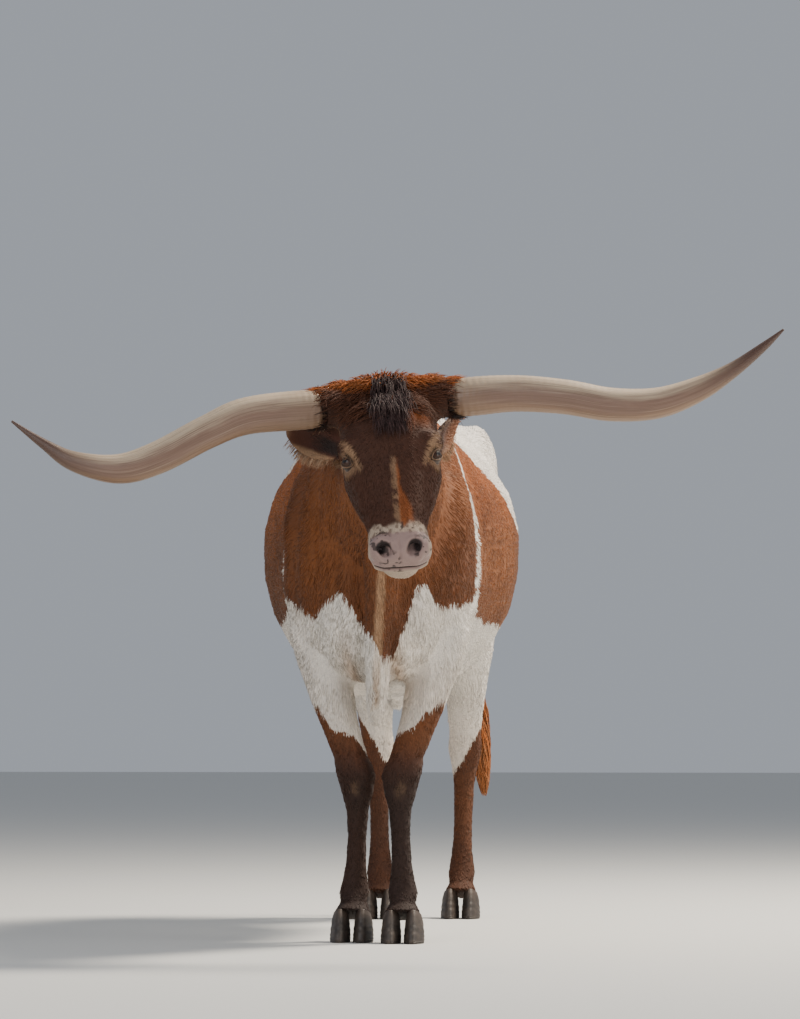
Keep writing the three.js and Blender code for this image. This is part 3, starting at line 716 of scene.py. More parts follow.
# Lines on the face in the head's frame, the left half, mirrored for the right.
faceStamps = [
    ((0.086, -0.062, -0.146), (0.110, -0.030, -0.148), 0.015, 0.0065),  # brow
    ((0.100, -0.045, -0.224), (0.112, -0.012, -0.212), 0.012, 0.0025),  # bag under the eye
    ((0.080, -0.055, -0.240), (0.076, -0.040, -0.290), 0.020, -0.0045),  # hollow before the eye
    ((0.080, 0.000, -0.290), (0.066, -0.005, -0.345), 0.014, 0.0045),  # crest of the cheek
    ((0.104, 0.010, -0.110), (0.100, 0.000, -0.130), 0.024, -0.007),  # temple
    ((0.090, 0.070, -0.200), (0.085, 0.080, -0.250), 0.040, 0.005),  # chewing muscle
    ((0.064, 0.045, -0.325), (0.060, 0.050, -0.350), 0.028, -0.006),  # hollow of the lower cheek
    ((0.0, -0.09, -0.130), (0.0, -0.09, -0.190), 0.030, -0.003),  # dip between the eyes
    ((0.004, -0.08, -0.21), (0.004, -0.07, -0.38), 0.012, 0.0025),  # ridge of the nose
    ((0.031, -0.046, -0.456), (0.039, -0.044, -0.438), 0.0115, -0.024),  # nostril
    ((0.042, -0.040, -0.438), (0.056, -0.018, -0.428), 0.0065, -0.009),  # and its slit
    ((0.020, -0.062, -0.430), (0.046, -0.050, -0.412), 0.009, 0.0060),  # wing of the nostril
    ((0.016, -0.050, -0.462), (0.018, -0.058, -0.440), 0.006, 0.0030),
    ((0.052, -0.036, -0.446), (0.048, -0.020, -0.462), 0.007, 0.0030),
    ((0.0, -0.070, -0.405), (0.0, -0.020, -0.478), 0.0035, -0.0028),  # groove of the lip
    ((0.020, 0.055, -0.430), (0.0, 0.060, -0.425), 0.020, 0.004),  # chin
]


def pressed(where, stamps):
    # Height moved: each stamp adds height * exp(-(distance to its line / reach)^2)
    total = np.zeros(len(where))
    for start, end, reach, height in stamps:
        a, b = np.array(start), np.array(end)
        share = np.clip((where - a) @ (b - a) / ((b - a) @ (b - a)), 0, 1)
        gap = np.linalg.norm(where - a - share[:, None] * (b - a), axis=1)
        total += height * np.exp(-((gap / reach) ** 2))
    return total


legSlices = {"tall": 0.02, "count": 32}


def legSculpt(body, normals):
    # Each lower leg is followed up its own middle, found from the skin's slices: groove and
    # tendon along the cannon, knee or hock, fetlock and coronet
    total = np.zeros(len(body))
    slices = legSlices["count"]
    x, y, z = body.T
    for left in (False, True):
        for hind in (False, True):
            own = ((z < 0.62) & (z > 0.09) & ((x > 0) == left) & ((y > 0.6) == hind)
                   & (np.abs(x) < 0.30) & (y < 1.5))
            slot = np.clip((z[own] / legSlices["tall"]).astype(int), 0, slices - 1)
            count = np.maximum(np.bincount(slot, minlength=slices), 1)
            middleY = np.bincount(slot, y[own], slices) / count
            levels = (np.arange(slices) + 0.5) * legSlices["tall"]
            used = np.bincount(slot, minlength=slices) > 0
            dy = y[own] - np.interp(z[own], levels[used], middleY[used])
            h = z[own]
            flank = smooth(0.3, 0.8, np.abs(normals[own, 0]))
            front = smooth(0.3, 0.8, -normals[own, 1])
            top = 0.42 if hind else 0.36
            cannon = smooth(0.145, 0.18, h) * smooth(top + 0.02, top - 0.02, h)
            moved = -0.0035 * np.exp(-(((dy - 0.008) / 0.006) ** 2)) * flank * cannon
            moved += 0.0015 * front * cannon
            if hind:
                moved += 0.004 * np.exp(-(((h - 0.47) / 0.03) ** 2)) * flank
                moved += (-0.009 * np.exp(-(((dy - 0.012) / 0.012) ** 2)) * flank
                          * smooth(0.50, 0.55, h))
                moved += -0.003 * np.exp(-(((h - 0.41) / 0.012) ** 2)) * front
            else:
                moved += 0.004 * np.exp(-(((h - 0.425) / 0.022) ** 2)) * (front + 0.6 * flank)
                moved += -0.003 * np.exp(-(((h - 0.468) / 0.012) ** 2)) * (front + flank)
                moved += -0.003 * np.exp(-(((h - 0.380) / 0.010) ** 2)) * front
            moved += 0.003 * np.exp(-(((h - 0.125) / 0.014) ** 2)) * flank
            moved += -0.003 * np.exp(-(((h - 0.100) / 0.007) ** 2))
            total[own] += moved
    return total


def sculpted(points, triangles):
    # The skin moved along its normals by stamps, waves and noise
    body, head = toBody(points), toHead(points)
    normals = vertexNormals(points, triangles)
    onHead = headShare(points)
    outward = smooth(0.1, 0.5, normals[:, 0] * np.sign(body[:, 0]))
    trunkShare = (1 - onHead) * smooth(0.52, 0.62, body[:, 2]) * smooth(1.56, 1.50, body[:, 1])
    shift = pressed(body[:, 1:], sideStamps) * outward * trunkShare
    # Spine: a low ridge with the bones' tops in it
    upward = smooth(0.4, 0.8, normals[:, 2])
    middleLine = np.interp(body[:, 1], (0.05, 0.48, 0.72, 1.10, 1.41),
                           (0.0, -0.027, -0.032, -0.022, -0.011))
    spine = (np.exp(-(((body[:, 0] - middleLine) / 0.022) ** 2)) * smooth(0.0, 0.2, body[:, 1])
             * smooth(1.45, 1.3, body[:, 1]))
    shift += (0.004 * spine * upward * (0.75 + 0.25 * np.sin(body[:, 1] * 2 * math.pi / 0.062))
              * trunkShare)
    # Folds down the neck and in the dewlap, a wave across its front
    frontNeck = smooth(0.02, -0.10, body[:, 1]) * smooth(-0.2, 0.4, -normals[:, 1]) * (1 - onHead)
    wave = np.sin(body[:, 0] * 105 + 2.2 * noise(points * np.array((1, 1, 0.35)), 0.16, 21))
    shift += (0.0045 * wave * frontNeck * smooth(0.58, 0.70, body[:, 2])
              * smooth(1.25, 1.05, body[:, 2]))
    ripple = noise(points * np.array((1, 1, 0.5)), 0.055, 22)
    shift += (0.0035 * ripple * (1 - onHead) * smooth(0.65, 0.8, body[:, 2])
              * smooth(0.35, 0.0, body[:, 1]))
    shift += 0.0015 * noise(points, 0.12, 23) * trunkShare
    shift += legSculpt(body, normals) * (1 - onHead)
    mirrored = head.copy()
    mirrored[:, 0] = np.abs(mirrored[:, 0])
    onFace = onHead * smooth(0.30, 0.22, mirrored[:, 0])
    shift += pressed(mirrored, faceStamps) * onFace
    shift += 0.0012 * noise(points, 0.03, 24) * onFace * smooth(0.10, 0.05, head[:, 1])
    # Slit between the lips, with a soft swelling each side
    gap = mouthGap(head)
    onMouth = onFace * smooth(-0.36, -0.372, head[:, 2])
    shift += (-0.007 * np.exp(-((gap / 0.0035) ** 2))
              + 0.0025 * np.exp(-(((gap - 0.011) / 0.006) ** 2))) * onMouth
    return points + normals * shift[:, None]


# Eyelids: the skin near each eye is drawn to a shell just outside the ball, open along an almond

lids = {
    "ball": 0.019,
    "axis": (0.74, -0.67, -0.05),
    "toNose": (0.0, -0.75, -0.66),
    "length": 0.0172,  # half the opening's length
    "height": 0.0086,  # and half its height
    "rim": 0.0026,
}


def eyeFrame(side):
    # The eye's middle, its axis and the two ways across its opening, in the head's frame
    mirror = np.array((side, 1, 1))
    middle = np.array(carriage["eyeInHead"]) * mirror
    axis = unit(np.array(lids["axis"]) * mirror)
    noseward = np.array(lids["toNose"])
    noseward = unit(noseward - axis * (noseward @ axis))
    up = np.cross(axis, noseward)
    up = up * np.sign(up @ np.array((0, -0.5, 0.85)))
    return middle, axis, noseward, up


def almond(forward, up):
    # 1 on the edge of the opening: an ellipse whose height falls towards both corners
    bow = np.clip(1 - 0.38 * (forward / lids["length"]) ** 2, 0.35, 1)
    tall = lids["height"] * np.where(up > 0, 1.05, 0.95) * bow
    return np.sqrt((forward / lids["length"]) ** 2 + (up / tall) ** 2)


def liddedSkin(points):
    # Each shell's radius follows the almond measure q: rim, fold above it, and inside the opening
    # a drop to behind the ball's front
    head = toHead(points)
    for side in (-1, 1):
        middle, axis, noseward, up = eyeFrame(side)
        away = head - middle
        depth, forward, rise = away @ axis, away @ noseward, away @ up
        lateral = np.hypot(forward, rise)
        near = (depth > -0.004) & (lateral < 0.055) & (np.sign(head[:, 0]) == side)
        q = almond(forward, rise)
        far = np.linalg.norm(away, axis=1)
        rimHeight = lids["ball"] + lids["rim"] + 0.0012 * np.exp(-(((q - 1.18) / 0.16) ** 2))
        rimHeight += 0.0022 * smooth(0.0, 0.008, rise) * smooth(1.0, 1.25, q)
        rimHeight += -0.0026 * np.exp(-(((q - 1.62) / 0.12) ** 2)) * smooth(-0.002, 0.006, rise)
        shell = rimHeight + (lids["ball"] - 0.0045 - rimHeight) * smooth(1.02, 0.86, q)
        hold = smooth(2.5, 1.5, q) * near
        scale = 1 + (shell / np.maximum(far, 1e-4) - 1) * hold
        head = middle + away * scale[:, None] * near[:, None] + away * (~near)[:, None]
    return fromHead(head)


def makeSkin():
    obj = fleshSource()
    remesh = obj.modifiers.new("voxels", "REMESH")
    remesh.mode, remesh.voxel_size, remesh.use_smooth_shade = "VOXEL", skinShape["voxel"], True
    finished(obj)
    points, _ = meshArrays(obj.data)
    onHead = headShare(points)
    body = toBody(points)
    # Lower legs and tail keep their shape
    thin = smooth(0.62, 0.74, body[:, 2]) * smooth(1.57, 1.50, body[:, 1])
    thin = thin * (1 - onDewlap(body))
    setGroup(obj, "trunkOnly", (1 - onHead) * thin)
    setGroup(obj, "thinOut", 1 - onHead)
    for name, group, rounds in (("whole", "", skinShape["softenAll"]),
                                ("trunk", "trunkOnly", skinShape["softenTrunk"])):
        soften = obj.modifiers.new(name, "SMOOTH")
        soften.factor, soften.iterations, soften.vertex_group = 0.5, rounds, group
    thinOut = obj.modifiers.new("thinOut", "DECIMATE")
    thinOut.ratio, thinOut.vertex_group = skinShape["keepShare"], "thinOut"
    thinOut.vertex_group_factor = 1.0
    finished(obj)
    obj.vertex_groups.clear()
    wide, close = skinShape["splitRound"]
    for reach in (nearMuzzle, nearEyes(wide), nearNose, nearEyes(close)):
        refine(obj, reach)
    points, triangles = meshArrays(obj.data)
    points = points - vertexNormals(points, triangles) * coatDepth(points)[:, None]
    points = sculpted(points, triangles)
    points = liddedSkin(points)
    obj.data.vertices.foreach_set("co", points.astype(np.float32).ravel())
    obj.data.polygons.foreach_set("use_smooth", np.full(len(obj.data.polygons), True))
    obj.data.update()
    return obj


def paintCoat(obj, marks, tone, down):
    names = ("pale", "dark", "mark", "bare", "tone", "downward")
    for name, values in zip(names, (*marks, tone, down)):
        paint(obj, name, values)


# Materials

def newMaterial(name):
    material = bpy.data.materials.new(name)
    material.use_nodes = True
    tree = material.node_tree
    return material, tree, tree.nodes["Principled BSDF"]


def addNode(tree, kind, settings=None, **inputs):
    node = tree.nodes.new(kind)
    for key, value in (settings or {}).items():
        setattr(node, key, value)
    for key, value in inputs.items():
        numbered = key[0] == "i" and key[1:].isdigit()  # i2 is the third socket
        socket = node.inputs[int(key[1:]) if numbered else key]
        if isinstance(value, bpy.types.NodeSocket):
            tree.links.new(value, socket)
        else:
            socket.default_value = value
    return node


def attribute(tree, name, output="Fac"):
    return addNode(tree, "ShaderNodeAttribute", {"attribute_name": name}).outputs[output]


def mathNode(tree, operation, *values):
    node = addNode(tree, "ShaderNodeMath", {"operation": operation})
    for k, value in enumerate(values):
        if isinstance(value, bpy.types.NodeSocket):
            tree.links.new(value, node.inputs[k])
        else:
            node.inputs[k].default_value = value
    return node.outputs[0]


def plus(tree, first, second, share):
    # first + share * second
    return mathNode(tree, "ADD", first, mathNode(tree, "MULTIPLY", second, share))


def ranged(tree, value, low, high, toLow=0.0, toHigh=1.0, kind="LINEAR"):
    node = addNode(tree, "ShaderNodeMapRange", {"interpolation_type": kind})
    ends = {"From Min": low, "From Max": high, "To Min": toLow, "To Max": toHigh}
    for key, number in ends.items():
        node.inputs[key].default_value = number
    tree.links.new(value, node.inputs["Value"])
    return node.outputs["Result"]


def mixColour(tree, share, first, second, blend="MIX"):
    node = addNode(tree, "ShaderNodeMix", {"data_type": "RGBA", "blend_type": blend})
    for socket, value in ((node.inputs[0], share), (node.inputs[6], first),
                          (node.inputs[7], second)):
        if isinstance(value, bpy.types.NodeSocket):
            tree.links.new(value, socket)
        elif isinstance(value, (int, float)):
            socket.default_value = value
        else:
            socket.default_value = (*value, 1)
    return node.outputs[2]


def noiseNode(tree, vector, scale, detail=3.0, stretch=None, rough=0.55):
    if stretch:
        vector = addNode(tree, "ShaderNodeMapping", Vector=vector, Scale=stretch).outputs[0]
    return addNode(tree, "ShaderNodeTexNoise", Vector=vector, Scale=scale, Detail=detail,
                   Roughness=rough).outputs["Fac"]


coatLook = {
    "roughness": 0.70,
    "sheen": 0.04,
    "hairBump": 0.35,
    "streakTone": 0.22,
    "sheenRoughness": 0.4,
    "specular": 0.22,
    "bareRoughness": 0.33,
    "edge": 0.0015,  # half the width of the markings' edge
    "edgeComb": 0.02,  # how far the streaks shift it
    "backStreaks": (520, 95, 330),
    "downStreaks": (560, 430, 80),
    "pores": 330.0,
    "bumpDepth": 0.0022,
    # skinTone: the skin's darker tone under the tufts is painted shade among the hair
    "skinTone": 0.80,  # the skin between the tufts is darker than they are
}


def coatMaterial():
    material, tree, shader = newMaterial("coat")
    place = addNode(tree, "ShaderNodeTexCoord").outputs["Object"]
    back = noiseNode(tree, place, 1.0, 4, coatLook["backStreaks"])
    down = noiseNode(tree, place, 1.0, 4, coatLook["downStreaks"])
    low = attribute(tree, "downward")
    streak = addNode(tree, "ShaderNodeMix", {"data_type": "FLOAT"}, i0=low, i2=back,
                     i3=down).outputs[0]
    mark = attribute(tree, "mark")
    mark = plus(tree, mark, mathNode(tree, "SUBTRACT", streak, 0.5), coatLook["edgeComb"])
    inside = ranged(tree, mark, -coatLook["edge"], coatLook["edge"])
    colour = mixColour(tree, inside, attribute(tree, "pale", "Color"),
                       attribute(tree, "dark", "Color"))
    tone = mathNode(tree, "MULTIPLY", attribute(tree, "tone"),
                    ranged(tree, streak, 0.3, 0.7, 1 - coatLook["streakTone"],
                           1 + coatLook["streakTone"]))
    bare = attribute(tree, "bare")
    evened = mixColour(tree, bare, mixColour(tree, 1.0, colour, combined(tree, tone), "MULTIPLY"),
                       colour)
    tree.links.new(evened, shader.inputs["Base Color"])
    tree.links.new(ranged(tree, bare, 0, 1, coatLook["roughness"], coatLook["bareRoughness"]),
                   shader.inputs["Roughness"])
    shader.inputs["Sheen Weight"].default_value = coatLook["sheen"]
    shader.inputs["Sheen Roughness"].default_value = coatLook["sheenRoughness"]
    shader.inputs["Specular IOR Level"].default_value = coatLook["specular"]
    pores = addNode(tree, "ShaderNodeTexVoronoi", {"feature": "DISTANCE_TO_EDGE"}, Vector=place,
                    Scale=coatLook["pores"])
    cells = ranged(tree, pores.outputs["Distance"], 0.0, 0.22)
    height = addNode(tree, "ShaderNodeMix", {"data_type": "FLOAT"}, i0=bare, i2=streak,
                     i3=cells).outputs[0]
    bump = addNode(tree, "ShaderNodeBump", Strength=coatLook["hairBump"],
                   Distance=coatLook["bumpDepth"], Height=height)
    tree.links.new(bump.outputs[0], shader.inputs["Normal"])
    return material


def combined(tree, value):
    # One number as a grey colour
    node = addNode(tree, "ShaderNodeCombineColor")
    for k in range(3):
        tree.links.new(value, node.inputs[k])
    return node.outputs[0]


def downwardShare(points):
    # 1 where the hair runs down (legs, chest, face, tail), 0 where it runs back (sides)
    body = toBody(points)
    return np.maximum(smooth(0.72, 0.60, body[:, 2]),
                      np.maximum(headShare(points), smooth(1.45, 1.52, body[:, 1])))


coat = coatMaterial()
skin = makeSkin()
skinPoints, skinTriangles = meshArrays(skin.data)
skinNormals = vertexNormals(skinPoints, skinTriangles)
skinMarks = coatMarks(skinPoints, skinNormals)
# The skin is painted darker than the tufts, as shade among the hair
paintCoat(skin, skinMarks, np.full(len(skinPoints), coatLook["skinTone"]),
          downwardShare(skinPoints))
skin.data.materials.clear()
skin.data.materials.append(coat)
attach(skin, "root")
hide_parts(*fleshNodes)
print("skin:", len(skinPoints), "points,", len(skinTriangles), "triangles")


# Horns

horns = {  # sideways, up, forward and radius, in the horns' frame
    "right": [(0.148, 0, 0, 0.030), (0.183, -0.001, 0, 0.0465), (0.340, -0.006, 0.022, 0.045),
              (0.441, -0.039, 0.044, 0.041), (0.567, -0.093, 0.064, 0.039),
              (0.662, -0.112, 0.074, 0.035), (0.764, -0.086, 0.078, 0.024),
              (0.832, -0.039, 0.076, 0.0125), (0.905, 0.022, 0.070, 0.0025)],
    "left": [(0.148, 0, 0, 0.030), (0.192, 0, 0, 0.0465), (0.312, -0.002, 0.018, 0.0445),
             (0.430, -0.021, 0.040, 0.0425), (0.538, -0.049, 0.058, 0.0405),
             (0.648, -0.055, 0.070, 0.037), (0.748, -0.030, 0.076, 0.030),
             (0.836, 0.010, 0.078, 0.019), (0.917, 0.061, 0.076, 0.0105),
             (0.970, 0.099, 0.072, 0.0025)],
}
hornLook = {
    "rings": 0.0004,  # height of the growth rings
    "ringGap": 0.017,
    "ringFade": 0.16,
    "grain": 0.0005,
    "rows": 260,
    "columns": 72,
    # The lighter top and the darker front and underside are painted light and shade, laid on by
    # which way the horn's surface faces
    "top": (0.48, 0.375, 0.265),
    "front": (0.180, 0.108, 0.080),
    "under": (0.24, 0.14, 0.078),
    "darkStreak": (0.095, 0.055, 0.036),
    "paleStreak": (0.50, 0.40, 0.29),
    "root": (0.22, 0.145, 0.090),
    "tip": (0.075, 0.038, 0.026),
    "speck": (0.09, 0.06, 0.05),
    "subsurface": 0.08,
    "subsurfaceRadius": (0.006, 0.004, 0.002),
}


def makeHorn(name):
    side = 1 if name == "left" else -1
    rows, columns = hornLook["rows"], hornLook["columns"]
    share = np.linspace(0, 1, rows)
    run = along(horns[name], share)
    middle = np.stack((side * run[:, 0], -run[:, 2], run[:, 1]), -1)
    ahead = unit(np.gradient(middle, axis=0))
    across = unit(np.cross(ahead, (0, 0, 1)))
    top = np.cross(across, ahead)
    length = np.concatenate(([0], np.cumsum(np.linalg.norm(np.diff(middle, axis=0), axis=1))))
    turn = roundTurns(columns)
    s, t = np.meshgrid(length, turn, indexing="ij")
    spot = np.stack((s.ravel() * 8, np.cos(t.ravel()) * 2, np.sin(t.ravel()) * 2), -1)
    # Radius: the station's, with growth rings fading from the root and fine grain along the horn
    rings = np.sin(s * 2 * math.pi / hornLook["ringGap"]
                   + 1.5 * noise(spot, 1.0, 31).reshape(s.shape))
    fade = np.exp(-s / hornLook["ringFade"]) + 0.12
    grain = noise(np.stack((s.ravel() * 5, np.cos(t.ravel()) * 14, np.sin(t.ravel()) * 14), -1),
                  1.0, 32)
    lumps = noise(spot, 2.2, 33).reshape(s.shape)
    radius = run[:, 3:4] * (1 + 0.02 * lumps) + hornLook["rings"] * rings * fade
    radius = np.maximum(radius + hornLook["grain"] * grain.reshape(s.shape), 0.0012)
    outward = np.cos(t)[..., None] * across[:, None] + np.sin(t)[..., None] * top[:, None]
    outline = middle[:, None] + radius[..., None] * outward
    outline = fromHorn(outline.reshape(-1, 3)).reshape(outline.shape)
    obj = closedTube("horn" + name.capitalize(), outline)
    paint(obj, "length", np.concatenate((s.ravel() / length[-1], (0, 1))))
    # Which way the surface faces round the horn, for the painted light on top and the painted shade
    # below
    paint(obj, "topside", np.concatenate((np.sin(t).ravel(), (0, 0))))
    strand = np.stack((s.ravel() * 3, np.cos(t.ravel()), np.sin(t.ravel())), -1)
    paint(obj, "strand", np.vstack((strand, (0, 0, 0), (length[-1] * 3, 0, 0))))
    obj.data.materials.append(hornFinish)
    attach(obj, "root")
    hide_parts("horn_" + name)


def hornMaterial():
    material, tree, shader = newMaterial("hornFinish")
    strand = attribute(tree, "strand", "Color")
    length = attribute(tree, "length")
    topside = attribute(tree, "topside")
    streaks = noiseNode(tree, strand, 1.0, 5, (1.6, 26, 26), 0.6)
    cloud = noiseNode(tree, strand, 2.6, 3)
    # Painted light on top, painted shade towards the front and underside, their edge broken up by
    # noise
    lower = ranged(tree, plus(tree, topside, cloud, 0.9), 1.30, 0.40, kind="SMOOTHSTEP")
    colour = mixColour(tree, lower, hornLook["top"], hornLook["front"])
    under = ranged(tree, plus(tree, topside, cloud, 0.5), -0.15, -0.65, 0, 0.8, "SMOOTHSTEP")
    colour = mixColour(tree, under, colour, hornLook["under"])
    colour = mixColour(tree, ranged(tree, streaks, 0.50, 0.66, 0, 0.7), colour,
                       hornLook["darkStreak"])
    colour = mixColour(tree, ranged(tree, streaks, 0.44, 0.32, 0, 0.28), colour,
                       hornLook["paleStreak"])
    root = ranged(tree, length, 0.16, 0.05, 0, 0.35, "SMOOTHSTEP")
    colour = mixColour(tree, root, colour, hornLook["root"])
    tip = ranged(tree, plus(tree, length, cloud, 0.10), 0.70, 0.94, kind="SMOOTHSTEP")
    colour = mixColour(tree, tip, colour, hornLook["tip"])
    speck = ranged(tree, noiseNode(tree, strand, 16.0, 2, (1.0, 3, 3)), 0.70, 0.76, 0, 0.7)
    colour = mixColour(tree, speck, colour, hornLook["speck"])
    tree.links.new(colour, shader.inputs["Base Color"])
    tree.links.new(ranged(tree, streaks, 0.3, 0.7, 0.34, 0.52), shader.inputs["Roughness"])
    shader.inputs["Subsurface Weight"].default_value = hornLook["subsurface"]
    shader.inputs["Subsurface Radius"].default_value = hornLook["subsurfaceRadius"]
    shader.inputs["Subsurface Scale"].default_value = 1.0
    bump = addNode(tree, "ShaderNodeBump", Strength=0.35, Distance=0.0012, Height=streaks)
    tree.links.new(bump.outputs[0], shader.inputs["Normal"])
    return material


hornFinish = hornMaterial()
for hornName in horns:
    makeHorn(hornName)
print("horns are made")


# Eyes

eyeLook = {
    "iris": 0.0152,
    "pupilLong": 0.0085,
    "pupilTall": 0.0042,
    "cornea": 0.0014,
    "rows": 84,
    "columns": 96,
    "white": (0.11, 0.060, 0.045),
    "veins": (0.08, 0.025, 0.018),
    "brown": (0.036, 0.014, 0.007),
    "pupil": (0.004, 0.004, 0.006),
    "roughness": 0.38,
    "specular": 0.2,
    "wet": 0.35,
}


def eyeMaterial():
    material, tree, shader = newMaterial("eyeFinish")
    tree.links.new(attribute(tree, "ball", "Color"), shader.inputs["Base Color"])
    shader.inputs["Roughness"].default_value = eyeLook["roughness"]
    shader.inputs["Specular IOR Level"].default_value = eyeLook["specular"]
    shader.inputs["Coat Weight"].default_value = eyeLook["wet"]
    shader.inputs["Coat Roughness"].default_value = 0.02
    shader.inputs["Coat IOR"].default_value = 1.45
    return material


def makeEye(name):
    side = 1 if name == "left" else -1
    _, axis, noseward, up = eyeFrame(side)
    middle = middleOf("eye_" + name)
    rows, columns = eyeLook["rows"], eyeLook["columns"]
    polar = np.linspace(0.004, math.pi - 0.004, rows)
    turn = roundTurns(columns)
    p, t = np.meshgrid(polar, turn, indexing="ij")
    # A ball whose front stands out as the cornea
    radius = lids["ball"] - 0.0004 + eyeLook["cornea"] * smooth(0.80, 0.30, p)
    forward, rise = radius * np.sin(p) * np.cos(t), radius * np.sin(p) * np.sin(t)
    local = ((radius * np.cos(p))[..., None] * axis + forward[..., None] * noseward
             + rise[..., None] * up)
    obj = closedTube("eye" + name.capitalize(), middle + local @ headTurn.T)
    level = unit(np.cross(axis, (0.0, -0.5, 0.866)))  # the pupil lies level
    level = level * np.sign(level @ noseward)
    flat, tall = local @ level, local @ np.cross(axis, level)
    lateral = np.hypot(flat, tall)
    spokes = (np.arctan2(tall, flat).ravel() * 9, lateral.ravel() * 300, 0 * flat.ravel())
    ray = noise(np.stack(spokes, -1), 1.0, 41).reshape(p.shape)
    ball = np.tile(np.array(eyeLook["white"]), (rows, columns, 1))
    veins = smooth(0.25, 0.7, noise(local.reshape(-1, 3), 0.004, 42)).reshape(p.shape)
    ball += (np.array(eyeLook["veins"]) - ball) * (0.5 * veins)[..., None]
    iris = smooth(eyeLook["iris"] + 0.0007, eyeLook["iris"] - 0.0004, lateral) * (p < 1.2)
    brown = np.array(eyeLook["brown"]) * (1 + 0.5 * ray)[..., None]
    inner = smooth(eyeLook["iris"], eyeLook["iris"] - 0.003, lateral)
    brown = brown * (0.35 + 0.65 * inner)[..., None]
    ball += (brown - ball) * iris[..., None]
    pupil = np.sqrt((flat / eyeLook["pupilLong"]) ** 2 + (tall / eyeLook["pupilTall"]) ** 2)
    ball += (np.array(eyeLook["pupil"]) - ball) * (smooth(1.08, 0.95, pupil) * (p < 1.2))[..., None]
    flatBall = np.vstack((ball.reshape(-1, 3), ball[0].mean(0), ball[-1].mean(0)))
    paint(obj, "ball", flatBall)
    obj.data.materials.append(eyeFinish)
    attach(obj, "root")
    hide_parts("eye_" + name)


eyeFinish = eyeMaterial()
for eyeName in ("left", "right"):
    makeEye(eyeName)
print("eyes are made")


# Hooves: each claw is a loft of outlines up its height, each dewclaw a bent cone

clawStations = [  # share of height, middle back, half width, reach forward, reach back, slope
    (0.0, -0.014, 0.0250, 0.060, 0.049, 0.0), (0.004, -0.014, 0.0262, 0.062, 0.050, 0.0),
    (0.012, -0.012, 0.0265, 0.062, 0.051, 0.02), (0.035, -0.005, 0.0250, 0.054, 0.050, 0.20),
    (0.069, 0.000, 0.0205, 0.040, 0.044, 0.36),
]


hoofLook = {
    "clawRows": 44,
    "clawColumns": 72,
    "dewclawRows": 20,
    "dewclawColumns": 32,
    "margin": 0.0004,  # kept inside the node's box
    "black": (0.020, 0.015, 0.013),
    "cloud": (0.058, 0.043, 0.034),
    "fibre": (0.095, 0.075, 0.060),
    "top": (0.070, 0.048, 0.036),
    "foot": (0.095, 0.078, 0.062),
}


def hoofMaterial():
    material, tree, shader = newMaterial("hoofFinish")
    place = addNode(tree, "ShaderNodeTexCoord").outputs["Object"]
    height = attribute(tree, "height")
    fibres = noiseNode(tree, place, 1.0, 4, (420, 420, 60))
    cloud = noiseNode(tree, place, 45.0, 3)
    ring = mathNode(tree, "SINE", mathNode(tree, "ADD", mathNode(tree, "MULTIPLY", height, 62.0),
                                           mathNode(tree, "MULTIPLY", cloud, 2.5)))
    colour = mixColour(tree, ranged(tree, cloud, 0.35, 0.7), hoofLook["black"], hoofLook["cloud"])
    colour = mixColour(tree, ranged(tree, fibres, 0.5, 0.75, 0, 0.45), colour, hoofLook["fibre"])
    nearTop = ranged(tree, height, 0.80, 0.97, 0, 0.7, "SMOOTHSTEP")
    colour = mixColour(tree, nearTop, colour, hoofLook["top"])
    nearFoot = ranged(tree, height, 0.16, 0.0, 0, 0.6, "SMOOTHSTEP")
    colour = mixColour(tree, nearFoot, colour, hoofLook["foot"])
    tree.links.new(colour, shader.inputs["Base Color"])
    tree.links.new(ranged(tree, fibres, 0.3, 0.7, 0.42, 0.62), shader.inputs["Roughness"])
    joint = mathNode(tree, "ADD", mathNode(tree, "MULTIPLY", ring, 0.35), fibres)
    bump = addNode(tree, "ShaderNodeBump", Strength=0.4, Distance=0.0015, Height=joint)
    tree.links.new(bump.outputs[0], shader.inputs["Normal"])
    return material


def clawRings(inner):
    # Each outline: half width and reaches from the stations, rounded square, sloped back, with
    # ripples 0.45 mm high
    rows, columns = hoofLook["clawRows"], hoofLook["clawColumns"]
    share = np.linspace(0, 1, rows)
    station = along(clawStations, share)
    turn = roundTurns(columns)
    st, t = np.meshgrid(np.arange(rows), turn, indexing="ij")
    height, middle, half, front, back, slope = (station[st, k] for k in range(6))
    c, s = np.cos(t), np.sin(t)
    wide = np.sign(s) * np.abs(s) ** 0.82
    wide = np.where(s * inner > 0, wide * 0.88, wide)  # the side facing the other claw is flatter
    y = middle - np.where(c > 0, front * c * (0.9 + 0.1 * c), back * c)
    x = half * wide * (1 - 0.22 * smooth(0.2, 1.0, c))
    z = height - slope * (y - middle)
    ripple = 0.00045 * np.sin(share * 46)[:, None] * smooth(0.05, 0.2, share)[:, None]
    x, y = x * (1 + ripple / 0.025), y + ripple * -np.sign(c)
    top = smooth(0.9, 1.0, share)[:, None]
    x, y = x * (1 - 0.10 * top), middle + (y - middle) * (1 - 0.06 * top)
    return np.stack((x, y, z), -1), np.repeat(share[:, None], columns, 1)


def fitInto(rings, node):
    # The rings stretched to fill their node's box, but for a small margin
    margin = hoofLook["margin"]
    lo, hi = (np.array(corner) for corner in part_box(node))
    flat = rings.reshape(-1, 3)
    low, high = flat.min(0), flat.max(0)
    lo, hi = lo + np.array((margin, margin, 0)), hi - margin
    return (rings - low) / (high - low) * (hi - lo) + lo


def makeHoof(node, rings, share):
    words = node.split("_")
    name = words[0] + "".join(word.capitalize() for word in words[1:])
    obj = closedTube(name, fitInto(rings, node))
    paint(obj, "height", np.concatenate((share.ravel(), (0, 1))))
    obj.data.materials.append(hoofFinish)
    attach(obj, "root")
    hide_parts(node)


